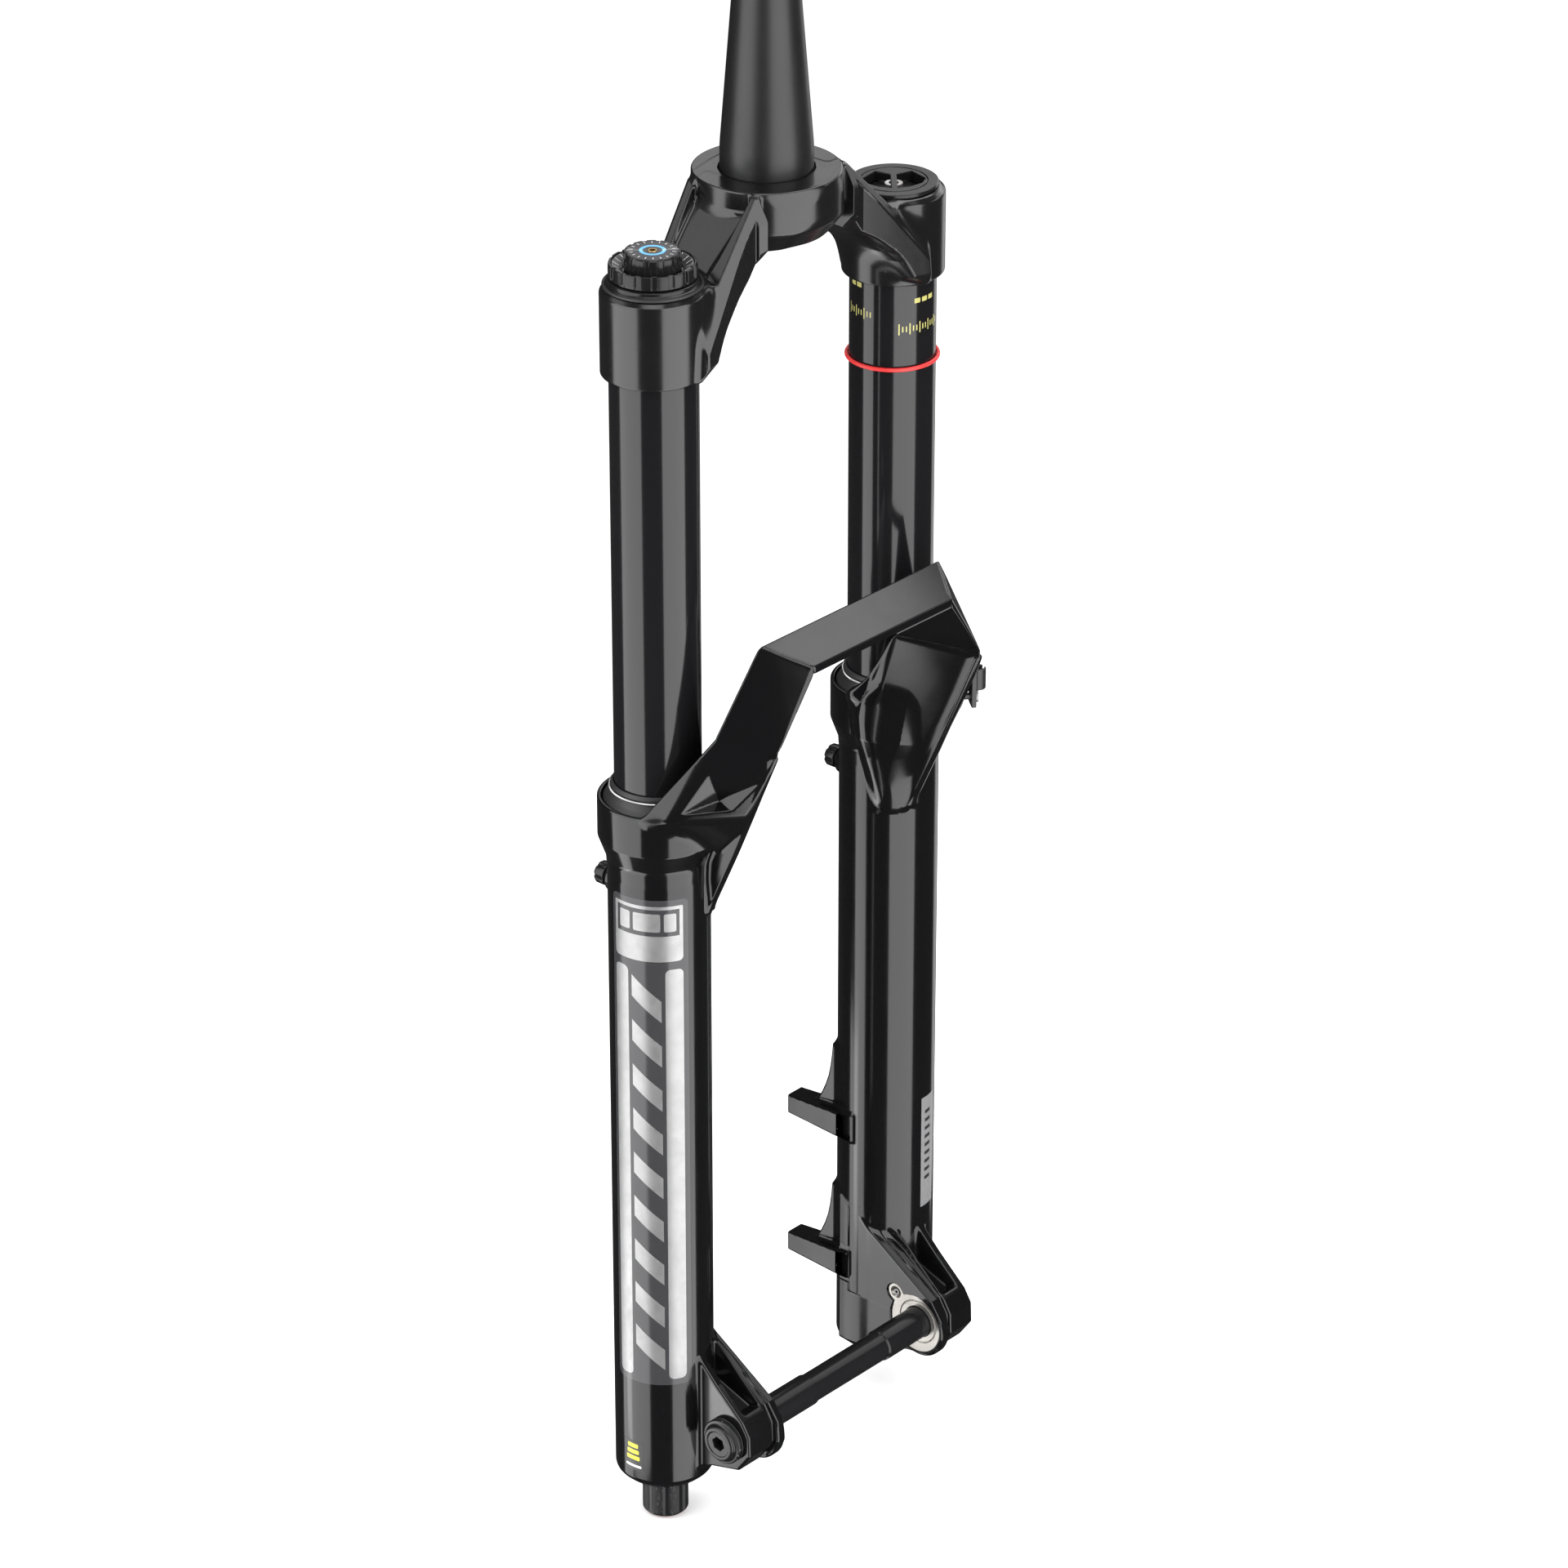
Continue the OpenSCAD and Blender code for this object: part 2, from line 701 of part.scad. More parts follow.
module relief_springs() {
    color([0.7, 0.7, 0.7]) for (sx = [-1, 1]) translate([sx * leg_x, 22.1, relief_z])
        rotate([-90, 0, 0]) ring(5, 4.2, 0, 0.35);
}

module at_hose_guide() {
    translate(guide_hole) rotate(guide_turn) translate([0, 0, guide_seat]) children();
}

module hose_guide() {
    hose_r = 2.6;
    clip_r = 4.2;
    clip_x0 = -14;
    clip_len = 10;
    color([0.04, 0.04, 0.04]) at_hose_guide() difference() {
        union() {
            translate([clip_x0, -clip_r, fit]) cube([clip_r - clip_x0, 2 * clip_r, guide_plate]);
            translate([clip_x0, 0, clip_r + fit]) rotate([0, 90, 0])
                cylinder(r = clip_r, h = clip_len);
        }
        translate([clip_x0 - 1, 0, clip_r + 0.6]) rotate([0, 90, 0])
            cylinder(r = hose_r, h = clip_len + 2);
        translate([0, 0, -1]) cylinder(r = guide_screw_r + 0.1, h = 6);
    }
}

module hose_guide_screw() {
    head_z = guide_plate + 2 * fit;
    color([0.3, 0.3, 0.3]) at_hose_guide() difference() {
        union() {
            translate([0, 0, -6]) cylinder(r = guide_screw_r - fit, h = 6 + head_z);
            translate([0, 0, head_z]) cylinder(r = 2.9, h = 1.9);
        }
        translate([0, 0, head_z + 0.7]) cylinder(r = 1.3, h = 2, $fn = 6);
    }
}

crown();
steerer_tube();
damper_stanchion();
air_stanchion();
damper_top_cap();
damper_cap_oring();
high_speed_knob();
high_speed_dial_ring();
low_speed_knob();
low_speed_dial_insert();
low_speed_centre_screw();
air_top_cap();
air_valve_body();
air_valve_core();
air_cap();
air_cap_oring();
volume_spacers();
damper_tube();
compression_piston();
compression_rod();
floating_piston();
damper_seal_head();
air_seal_head();
seal_head_circlips();
sag_ring();
lower_casting();
wiper_seals();
garter_springs();
foam_rings();
upper_bushings();
lower_bushings();
air_shaft();
air_piston();
air_piston_seal();
top_out_bumper();
damper_shaft();
rebound_piston();
rebound_glide_ring();
bottom_out_bumper();
air_foot_bolt();
damper_foot_nut();
crush_washers();
rebound_knob();
rebound_rod();
rebound_knob_ring();
axle();
axle_insert();
insert_screw();
relief_button_damper();
relief_button_air();
relief_springs();
hose_guide();
hose_guide_screw();
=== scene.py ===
"""Suspension fork: visual model, materials, light and camera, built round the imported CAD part."""

import itertools
import math

import bmesh
import bpy
import numpy as np
from mathutils import Matrix, Vector


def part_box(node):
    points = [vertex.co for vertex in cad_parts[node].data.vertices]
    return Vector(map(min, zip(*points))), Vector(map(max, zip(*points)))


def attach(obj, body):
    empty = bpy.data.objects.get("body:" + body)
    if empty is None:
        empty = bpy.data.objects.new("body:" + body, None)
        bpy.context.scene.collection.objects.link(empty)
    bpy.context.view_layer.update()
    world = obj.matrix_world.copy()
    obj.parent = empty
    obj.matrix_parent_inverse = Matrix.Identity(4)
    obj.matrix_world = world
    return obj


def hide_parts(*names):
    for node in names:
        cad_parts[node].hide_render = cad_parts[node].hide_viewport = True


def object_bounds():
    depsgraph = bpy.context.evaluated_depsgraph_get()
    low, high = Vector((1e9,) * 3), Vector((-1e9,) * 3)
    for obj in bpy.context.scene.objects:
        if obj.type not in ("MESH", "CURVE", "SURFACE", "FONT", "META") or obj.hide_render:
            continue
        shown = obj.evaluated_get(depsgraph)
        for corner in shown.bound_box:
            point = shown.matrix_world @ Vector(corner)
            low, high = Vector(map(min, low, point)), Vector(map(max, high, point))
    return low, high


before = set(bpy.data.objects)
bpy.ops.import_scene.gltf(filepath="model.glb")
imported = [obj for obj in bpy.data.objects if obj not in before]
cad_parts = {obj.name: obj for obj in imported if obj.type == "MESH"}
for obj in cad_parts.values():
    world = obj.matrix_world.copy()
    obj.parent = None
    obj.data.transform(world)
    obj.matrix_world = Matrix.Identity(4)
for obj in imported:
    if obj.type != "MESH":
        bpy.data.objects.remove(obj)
start_box = [[float(c) for c in corner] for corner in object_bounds()]

MM = 0.001
COARSE = 1.0     # wider mesh step while trying things
FLIP = np.array([-1, 1, 1])
SHARP = 28                              # a turned edge sharper than this stays an edge


def mm_box(node):
    """Lowest and highest corner of a CAD node in millimetres."""
    low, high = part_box(node)
    return np.array(low) / MM, np.array(high) / MM


# ---- sizes taken from the CAD nodes

stan_lo, stan_hi = mm_box("damper_stanchion")
LEG_X = -(stan_lo[0] + stan_hi[0]) / 2
LEG_Y = (stan_lo[1] + stan_hi[1]) / 2
STAN_R = (stan_hi[0] - stan_lo[0]) / 2
RIM_Z = mm_box("wiper_seals")[1][2] - 7.4
FOOT_Z = mm_box("lower_casting")[0][2]
crown_lo, crown_hi = mm_box("crown")
SOCKET_Z = crown_lo[2]
SOCKET_R = crown_hi[0] - LEG_X
CAP_Z = mm_box("damper_top_cap")[0][2] + 31.2      # top of the sockets
axle_lo, axle_hi = mm_box("axle")
AXLE_Y = (axle_lo[1] + axle_hi[1]) / 2
AXLE_Z = (axle_lo[2] + axle_hi[2]) / 2
HUB_X = mm_box("axle_insert")[0][0]
DROP_X = -(axle_lo[0] + 6)
LEG_R = 22.5
RING_R = 26.5
relief_lo, relief_hi = mm_box("relief_button_air")
RELIEF_Z = (relief_lo[2] + relief_hi[2]) / 2


# ---- materials

def new_material(name):
    mat = bpy.data.materials.new(name)
    mat.use_nodes = True
    return mat, mat.node_tree, mat.node_tree.nodes["Principled BSDF"]


def wire(nt, socket, value):
    """Sets a socket to a value, or links it to another node's output."""
    if isinstance(value, bpy.types.NodeSocket):
        nt.links.new(value, socket)
    else:
        socket.default_value = value


def node(nt, kind, output, **inputs):
    """Adds a node with its inputs set by name and returns one output."""
    n = nt.nodes.new("ShaderNode" + kind)
    for key, value in inputs.items():
        wire(nt, n.inputs[key.replace("_", " ")], value)
    return n.outputs[output]


def calc(nt, operation, a, b=0.0):
    n = nt.nodes.new("ShaderNodeMath")
    n.operation = operation
    wire(nt, n.inputs[0], a)
    wire(nt, n.inputs[1], b)
    return n.outputs[0]


def noise(nt, coords, scale, detail=4.0, rough=0.55, stretch=None):
    """Fractal noise in object space; stretch draws it out along an axis."""
    if stretch is not None:
        coords = node(nt, "Mapping", "Vector", Vector=coords, Scale=stretch)
    return node(nt, "TexNoise", "Fac", Vector=coords, Scale=scale, Detail=detail, Roughness=rough)


def spread(nt, value, low, high):
    """Maps a 0 to 1 noise onto the range from low to high."""
    return node(nt, "MapRange", "Result", Value=value, From_Min=0.3, From_Max=0.7, To_Min=low,
        To_Max=high)


def mix(nt, fac, a, b):
    m = nt.nodes.new("ShaderNodeMix")
    m.data_type = "RGBA"
    for key, value in ((0, fac), (6, a), (7, b)):
        wire(nt, m.inputs[key], value)
    return m.outputs[2]


def rgba(colour, k=1):
    colour = colour if isinstance(colour, tuple) else (colour,) * 3
    return tuple(min(1.0, c * k) for c in colour) + (1.0,)


def finish_material(name, colour, metallic, rough, bump, wear=None, vary=0.15, grain=900.0,
        bump_scale=None, stretch=None, specular=0.5, large=18.0, edge=(0.53, 0.60),
        bump_distance=0.0002):
    """Paint, metal, rubber or plastic: uneven tone, uneven gloss, fine grain and worn edges."""
    mat, nt, bsdf = new_material(name)
    tc = node(nt, "TexCoord", "Object")
    dark, base, light = (rgba(colour, k) for k in (1 - vary, 1, 1 + vary))
    tone = mix(nt, spread(nt, noise(nt, tc, large, 5.0, 0.6, stretch), 0.0, 1.0), dark, light)
    tone = mix(nt, spread(nt, noise(nt, tc, grain, 2.0, 0.5, stretch), 0.0, 0.4), tone, base)
    if wear is not None:
        worn = node(nt, "MapRange", "Result", From_Min=edge[0], From_Max=edge[1],
            Value=node(nt, "NewGeometry", "Pointiness"))
        spots = calc(nt, "MULTIPLY", worn, spread(nt, noise(nt, tc, 160.0, 4.0), 0.15, 1.0))
        tone = mix(nt, spots, tone, rgba(wear))
    level = spread(nt, noise(nt, tc, large * 5, 6.0, 0.65, stretch), *rough)
    relief = node(nt, "Bump", "Normal", Strength=bump, Distance=bump_distance,
        Height=noise(nt, tc, bump_scale or grain, 3.0, 0.6, stretch))
    for key, value in (("Base Color", tone), ("Roughness", level), ("Metallic", metallic),
            ("Specular IOR Level", specular), ("Normal", relief)):
        wire(nt, bsdf.inputs[key], value)
    return mat


def dial_print(mat, centre, marks, inner, outer, half_width, start):
    """Adds a ring of printed ticks round a dial's axis to a material, drawn by angle and radius."""
    nt = mat.node_tree
    bsdf = nt.nodes["Principled BSDF"]
    place = nt.nodes.new("ShaderNodeSeparateXYZ")
    wire(nt, place.inputs[0], node(nt, "TexCoord", "Object"))
    x, y = (calc(nt, "SUBTRACT", place.outputs[i], centre[i] * MM) for i in (0, 1))
    rad = calc(nt, "SQRT", calc(nt, "ADD", calc(nt, "MULTIPLY", x, x), calc(nt, "MULTIPLY", y, y)))
    turn = calc(nt, "ADD", calc(nt, "ARCTAN2", y, x), 40 * math.pi - math.radians(start))
    arc = calc(nt, "MULTIPLY", calc(nt, "PINGPONG", turn, math.pi / marks), rad)
    on = calc(nt, "LESS_THAN", arc, half_width * MM)
    on = calc(nt, "MULTIPLY", on, calc(nt, "GREATER_THAN", rad, inner * MM))
    on = calc(nt, "MULTIPLY", on, calc(nt, "LESS_THAN", rad, outer * MM))
    old = bsdf.inputs["Base Color"].links[0].from_socket
    wire(nt, bsdf.inputs["Base Color"], mix(nt, on, old, (0.75, 0.75, 0.75, 1.0)))
    metal = bsdf.inputs["Metallic"].default_value
    wire(nt, bsdf.inputs["Metallic"], calc(nt, "MULTIPLY", calc(nt, "SUBTRACT", 1.0, on), metal))


FINISHES = [    # key, name, colour, metallic, roughness range, bump, worn colour, more
    ("casting", "casting_gloss_black", (0.0028, 0.0028, 0.0031), 0, (0.1, 0.15), 0.05, 0.03,
     dict(grain=2600, bump_scale=900, bump_distance=5e-05, large=9, edge=(0.56, 0.7))),
    ("crown", "crown_satin_black", (0.0045, 0.0045, 0.0048), 0, (0.17, 0.22), 0.06, 0.05,
     dict(grain=3400, bump_scale=2600, large=14, edge=(0.56, 0.7), bump_distance=5e-05, specular=0.62)),
    ("steerer", "steerer_satin_black", (0.006, 0.006, 0.0063), 0, (0.33, 0.4), 0.12, 0.08,
     dict(grain=3000, bump_scale=2600, stretch=(1, 1, 0.5), bump_distance=5e-05)),
    ("stanchion", "stanchion_hard_black", (0.0055, 0.0052, 0.0058), 0, (0.1, 0.15), 0.06, 0.03,
     dict(grain=2400, bump_scale=1900, stretch=(1, 1, 0.12), large=10, bump_distance=4e-05)),
    ("knob", "anodised_black", (0.006, 0.006, 0.0065), 0, (0.17, 0.24), 0.12, 0.12,
     dict(grain=4000, bump_scale=3600, edge=(0.54, 0.66), bump_distance=4e-05, specular=0.36)),
    ("grey", "anodised_grey", (0.085, 0.085, 0.09), 0.6, (0.34, 0.44), 0.1, 0.4,
     dict(grain=4000, bump_scale=3600)),
    ("dial", "dial_grey", 0.12, 0.7, (0.3, 0.42), 0.1, 0.4,
     dict(grain=4000, bump_scale=3600)),
    ("bare", "machined_aluminium", (0.38, 0.365, 0.34), 0.9, (0.26, 0.4), 0.1, 0.85,
     dict(grain=2600, bump_scale=2600, stretch=(0.2, 1, 1), vary=0.08)),
    ("steel", "spring_steel", (0.6, 0.6, 0.61), 1, (0.18, 0.28), 0.05, 0.8, dict(vary=0.1)),
    ("chrome", "ground_steel", (0.66, 0.66, 0.68), 1, (0.1, 0.18), 0.04, 0.85, dict(vary=0.06)),
    ("black_steel", "blackened_steel", (0.035, 0.035, 0.037), 0.7, (0.3, 0.42), 0.1, 0.3),
    ("brass", "brass", (0.62, 0.42, 0.17), 1, (0.22, 0.34), 0.06, (0.85, 0.65, 0.35), dict(vary=0.12)),
    ("copper", "copper", (0.7, 0.36, 0.22), 1, (0.25, 0.38), 0.06, (0.9, 0.55, 0.4), dict(vary=0.12)),
    ("bronze", "bushing_bronze", (0.28, 0.23, 0.15), 0.5, (0.35, 0.5), 0.08, (0.6, 0.5, 0.3),
     dict(vary=0.2)),
    ("rubber", "seal_rubber", 0.012, 0, (0.42, 0.58), 0.16, 0.04,
     dict(grain=3000, bump_scale=1800, bump_distance=5e-05, edge=(0.55, 0.68))),
    ("sag", "ring_red", (0.5, 0.016, 0.016), 0, (0.35, 0.5), 0.12, (0.7, 0.1, 0.1),
     dict(grain=2600, bump_scale=1500)),
    ("foam", "oil_foam", (0.34, 0.27, 0.14), 0, (0.8, 0.95), 0.7, (0.45, 0.38, 0.22),
     dict(grain=1500, bump_scale=1100, vary=0.35)),
    ("glide", "glide_plastic", (0.62, 0.6, 0.54), 0, (0.35, 0.5), 0.08, (0.8, 0.8, 0.75)),
    ("spacer", "spacer_plastic", (0.6, 0.17, 0.03), 0, (0.35, 0.5), 0.1, (0.8, 0.35, 0.15)),
    ("guide", "guide_plastic", 0.01, 0, (0.3, 0.42), 0.2, 0.05,
     dict(grain=2600, bump_scale=1600, bump_distance=5e-05)),
    ("red", "anodised_red", (0.55, 0.012, 0.015), 0.7, (0.25, 0.35), 0.06, (0.8, 0.2, 0.2)),
    ("blue", "printed_blue", (0.1, 0.36, 0.62), 0, (0.35, 0.45), 0.06, (0.4, 0.6, 0.8)),
    ("film", "film_charcoal", (0.026, 0.026, 0.028), 0, (0.14, 0.2), 0.04, None,
     dict(grain=1800, bump_distance=4e-05)),
    ("silver", "film_silver", 0.3, 0.75, (0.3, 0.46), 0.06, None,
     dict(grain=1400, large=60, vary=0.1, bump_distance=5e-05)),
    ("label", "film_grey", (0.14, 0.14, 0.142), 0, (0.25, 0.35), 0.04, None, dict(grain=1800)),
    ("ink", "film_ink", (0.018, 0.018, 0.019), 0, (0.25, 0.35), 0.04, None),
    ("yellow", "film_yellow", (0.42, 0.37, 0.02), 0, (0.25, 0.35), 0.04, None),
    ("ochre", "tube_yellow", (0.34, 0.32, 0.1), 0, (0.25, 0.35), 0.04, None),
    ("pale", "film_pale", (0.6, 0.6, 0.58), 0, (0.25, 0.35), 0.04, None),
]
M = {key: finish_material(*rest[:6], **(rest[6] if len(rest) > 6 else {})) for key, *rest in FINISHES}
dial_print(M["dial"], (-LEG_X, LEG_Y), 24, 14.0, 16.6, 0.16, 8)
dial_print(M["grey"], (-LEG_X, LEG_Y), 18, 8.3, 9.8, 0.14, 4)


def finish(obj, key):
    obj.data.materials.clear()
    obj.data.materials.append(M[key])


def piece(obj, body, slot, key, *nodes):
    """Parents a visible piece to its body, gives it its finish and hides the CAD nodes it stands for.
    The slot is not used.
    """
    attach(obj, body)
    if nodes:
        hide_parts(*nodes)
    finish(obj, key)
    return obj


# ---- mesh helpers

def new_object(name, verts, faces, normals=None, smooth=True):
    """Mesh object from millimetre vertices, with exact vertex normals where they are known."""
    mesh = bpy.data.meshes.new(name)
    mesh.from_pydata((np.asarray(verts) * MM).tolist(), [], [list(f) for f in faces])
    mesh.update()
    if smooth:
        mesh.shade_smooth()
        if normals is not None:
            mesh.normals_split_custom_set_from_vertices(np.asarray(normals).tolist())
    obj = bpy.data.objects.new(name, mesh)
    bpy.context.scene.collection.objects.link(obj)
    return obj


def outward(faces, v, normals, probe=0):
    """The faces, wound so that the probed one agrees with its normal."""
    a, b, c = (np.array(v[k]) for k in faces[probe][:3])
    if np.cross(b - a, c - a) @ np.array(normals[faces[probe][0]]) < 0:
        return [q[::-1] for q in faces]
    return faces


def fillet_path(points, steps=6):
    """Rounds the corners of an open outline. Each point is (r, z) or (r, z, fillet radius)."""
    out = []
    pts = [np.array(p[:2], float) for p in points]
    for i, p in enumerate(points):
        here = pts[i]
        rad = p[2] if len(p) > 2 and 0 < i < len(points) - 1 else 0
        if rad > 0:
            a, b = pts[i - 1] - here, pts[i + 1] - here
            la, lb = np.linalg.norm(a), np.linalg.norm(b)
            a, b = a / la, b / lb
            half = math.acos(float(np.clip(a @ b, -1, 1))) / 2
        if rad <= 0 or half > math.pi / 2 - 1e-3:
            out.append(here)
            continue
        cut = min(rad / math.tan(half), 0.49 * la, 0.49 * lb)
        rad = cut * math.tan(half)
        centre = here + (a + b) / np.linalg.norm(a + b) * (rad / math.sin(half))
        s, e = here + a * cut - centre, here + b * cut - centre
        first = math.atan2(s[1], s[0])
        turn = (math.atan2(e[1], e[0]) - first + math.pi) % (2 * math.pi) - math.pi
        for k in range(steps + 1):
            t = first + turn * k / steps
            out.append(centre + rad * np.array([math.cos(t), math.sin(t)]))
    return out


def lathe(name, points, centre=(0, 0), segments=160, steps=6, warp=None, along_x=False):
    """Turned piece about a vertical axis at centre, or about an X axis at centre = (y, z)."""
    path = fillet_path(points, steps)
    path = [path[0]] + [p for q, p in zip(path, path[1:]) if np.linalg.norm(p - q) > 1e-5]
    d = np.diff(np.array(path), axis=0)
    d = d / np.maximum(np.linalg.norm(d, axis=1), 1e-9)[:, None]
    seg_n = np.stack([d[:, 1], -d[:, 0]], 1)
    rows, nrm = [], []
    for i, p in enumerate(path):
        before, after = seg_n[max(i - 1, 0)], seg_n[min(i, len(seg_n) - 1)]
        if before @ after > math.cos(math.radians(SHARP)):
            n = before + after
            rows.append(p)
            nrm.append(n / np.linalg.norm(n))
        else:
            rows += [p, p]
            nrm += [before, after]
    rows, nrm = np.array(rows), np.array(nrm)
    theta = np.arange(segments)[None] * 2 * math.pi / segments
    c, s = np.cos(theta), np.sin(theta)
    r, z = rows[:, :1] + 0 * c, rows[:, 1:] + 0 * c
    if warp is not None:
        r = warp(r, theta + 0 * r, z)
    v = np.stack([r * c, r * s, z], -1).reshape(-1, 3)
    nv = np.stack([nrm[:, :1] * c, nrm[:, :1] * s, nrm[:, 1:] + 0 * c], -1).reshape(-1, 3)
    faces = []
    for i in range(len(rows) - 1):
        if np.linalg.norm(rows[i] - rows[i + 1]) < 1e-6:
            continue
        for j in range(segments):
            a, b = i * segments + j, i * segments + (j + 1) % segments
            quad = (a, b, segments + b, segments + a)
            if rows[i][0] < 1e-6:
                quad = (a, segments + b, segments + a)
            elif rows[i + 1][0] < 1e-6:
                quad = (a, b, segments + a)
            faces.append(quad)
    if along_x:
        v = np.stack([v[:, 2], v[:, 0] + centre[0], v[:, 1] + centre[1]], 1)
        nv = np.stack([nv[:, 2], nv[:, 0], nv[:, 1]], 1)
    else:
        v = v + np.array([centre[0], centre[1], 0])
    return new_object(name, v, outward(faces, v, nv, len(faces) // 2), None if warp else nv)


# ---- distance fields

def smax(a, b, r):
    """Overlap of two fields with a circular fillet of radius r along the edge."""
    u, w = a + r, b + r
    return np.hypot(np.maximum(u, 0), np.maximum(w, 0)) + np.minimum(np.maximum(u, w), 0) - r


def smin(a, b, r):
    return -smax(-a, -b, r)


def apart(a, b, point):
    """Distance from a point in two coordinates."""
    return np.hypot(a - point[0], b - point[1])


def off_leg(x, y):
    """Distance from the axis of the leg at +X."""
    return apart(x, y, (LEG_X, LEG_Y))


def slab(a, low, high):
    return np.maximum(low - a, a - high)


def hull_planes(points):
    """Outward planes of the convex hull of a few points, found by trying every triple."""
    p = np.array(points, float)
    out = []
    for i, j, k in itertools.combinations(range(len(p)), 3):
        c = np.cross(p[j] - p[i], p[k] - p[i])
        size = np.linalg.norm(c)
        if size < 1e-6:
            continue
        c = c / size
        d = c @ p[i]
        if c @ p.mean(0) > d:
            c, d = -c, -d
        known = any(abs(d - e) < 1e-3 and (c - m) @ (c - m) < 1e-6 for m, e in out)
        if (p @ c - d).max() < 1e-3 and not known:
            out.append((c, d))
    return out


def hull_field(points, k):
    """Field of a convex hull whose edges are rounded by k."""
    planes = hull_planes(points)

    def field(x, y, z):
        f = None
        for c, d in planes:
            g = c[0] * x + c[1] * y + c[2] * z - d
            f = g if f is None else smax(f, g, k)
        return f
    return field


def outline_distance(a, b, poly):
    """Signed distance to a closed outline in two coordinates, negative inside."""
    p = np.array(poly, float)
    n = len(p)
    dist = np.full(a.shape, 1e9)
    inside = np.zeros(a.shape, bool)
    for i in range(n):
        p0, p1 = p[i], p[(i + 1) % n]
        e = p1 - p0
        wa, wb = a - p0[0], b - p0[1]
        t = np.clip((wa * e[0] + wb * e[1]) / (e @ e), 0, 1)
        dist = np.minimum(dist, (wa - e[0] * t) ** 2 + (wb - e[1] * t) ** 2)
        cross = ((p0[1] > b) != (p1[1] > b))
        at = e[0] * (b - p0[1]) / (e[1] if abs(e[1]) > 1e-9 else 1e-9) + p0[0]
        inside ^= cross & (a < at)
    return np.where(inside, -1, 1) * np.sqrt(dist)


def surface(field, low, high, step, keep=None, block=8):
    """Surface of a distance field in a box: vertices pulled exactly onto it, quads and normals."""
    step = step * COARSE
    low, high = np.array(low, float), np.array(high, float)
    n = (np.ceil((high - low) / step / block).astype(int)) * block + 1
    axes = [low[i] + step * np.arange(n[i]) for i in range(3)]
    middles = [a[block // 2::block][: (len(a) - 1) // block] for a in axes]
    gx, gy, gz = np.meshgrid(*middles, indexing="ij")
    coarse = field(gx.ravel(), gy.ravel(), gz.ravel()).reshape(gx.shape)
    # blocks that the surface can reach: half a block's diagonal, with room for steep fields
    index = np.argwhere(np.abs(coarse) < step * block * 0.87 * 1.35 + 0.8)
    grid = np.where(np.kron(coarse, np.ones((block,) * 3)) > 0, 9.0, -9.0).astype(np.float32)
    grid = np.pad(grid, ((0, 1),) * 3, mode="edge")
    off = np.stack(np.meshgrid(*[np.arange(block + 1)] * 3, indexing="ij"), -1).reshape(-1, 3)
    for chunk in np.array_split(index, max(1, len(index) // 1500)):
        ijk = (chunk[:, None] * block + off[None]).reshape(-1, 3)
        grid[tuple(ijk.T)] = field(*(axes[d][ijk[:, d]] for d in range(3)))
    sign = grid < 0
    corners = list(np.ndindex(2, 2, 2))
    total = sum(sign[tuple(slice(o, k - 1 + o) for o, k in zip(c, sign.shape))].astype(np.int8)
        for c in corners)
    cells = (total > 0) & (total < 8)
    where = np.argwhere(cells)
    ident = np.full(cells.shape, -1, np.int64)
    ident[tuple(where.T)] = np.arange(len(where))
    pos = np.zeros((len(where), 3))
    count = np.zeros(len(where))
    for a, b in itertools.product(corners, corners):
        if not (a < b and sum(abs(np.array(a) - b)) == 1):
            continue
        va, vb = grid[tuple((where + a).T)], grid[tuple((where + b).T)]
        hit = (va < 0) != (vb < 0)
        t = np.where(hit, va / np.where(hit, va - vb, 1), 0)
        pt = where + np.array(a) + t[:, None] * (np.array(b) - np.array(a))
        pos += np.where(hit[:, None], pt, 0)
        count += hit
    v = low + step * pos / count[:, None]
    quads = []
    for d in range(3):
        e, f = (d + 1) % 3, (d + 2) % 3
        sa, sb = (sign[tuple(slice(o, o - 1 or None) if k == d else slice(None) for k in range(3))]
            for o in (0, 1))
        idx = np.argwhere(sa != sb)
        idx = idx[(idx[:, e] > 0) & (idx[:, f] > 0) & (idx[:, e] < cells.shape[e])
            & (idx[:, f] < cells.shape[f])]
        ring = []
        for de, df in ((1, 1), (0, 1), (0, 0), (1, 0)):
            q = idx.copy()
            q[:, e] -= de
            q[:, f] -= df
            ring.append(ident[tuple(q.T)])
        ring = np.stack(ring, 1)
        quads.append(np.where(sa[tuple(idx.T)][:, None], ring, ring[:, ::-1]))
    quads = np.concatenate(quads)

    def gradient(p):
        h = 0.05
        return np.stack([field(*(p + h * k).T) - field(*(p - h * k).T) for k in np.eye(3)], 1) / (2 * h)

    for _ in range(3):
        g = gradient(v)
        f = field(*v.T)
        v = v - np.clip(f / np.maximum((g * g).sum(1), 0.2), -0.5 * step, 0.5 * step)[:, None] * g
    g = gradient(v)
    nrm = g / np.maximum(np.linalg.norm(g, axis=1), 1e-9)[:, None]
    if keep is not None:
        quads = quads[keep(v[quads].mean(1))]
        used = np.unique(quads)
        back = np.full(len(v), -1)
        back[used] = np.arange(len(used))
        v, nrm, quads = v[used], nrm[used], back[quads]
    return v, quads, nrm


def flipped(part):
    """The mirror image of a surface in X."""
    v, q, n = part
    return v * FLIP, q[:, ::-1], n * FLIP


def merge(parts):
    v, q, n = zip(*parts)
    start = np.cumsum([0] + [len(k) for k in v])
    return np.concatenate(v), np.concatenate([k + o for k, o in zip(q, start)]), np.concatenate(n)


def mirrored(part):
    """A surface and its mirror image in X, closed along the middle."""
    for k in (0, 2):
        part[k][np.abs(part[0][:, 0]) < 0.25, 0] = 0
    return merge([part, flipped(part)])


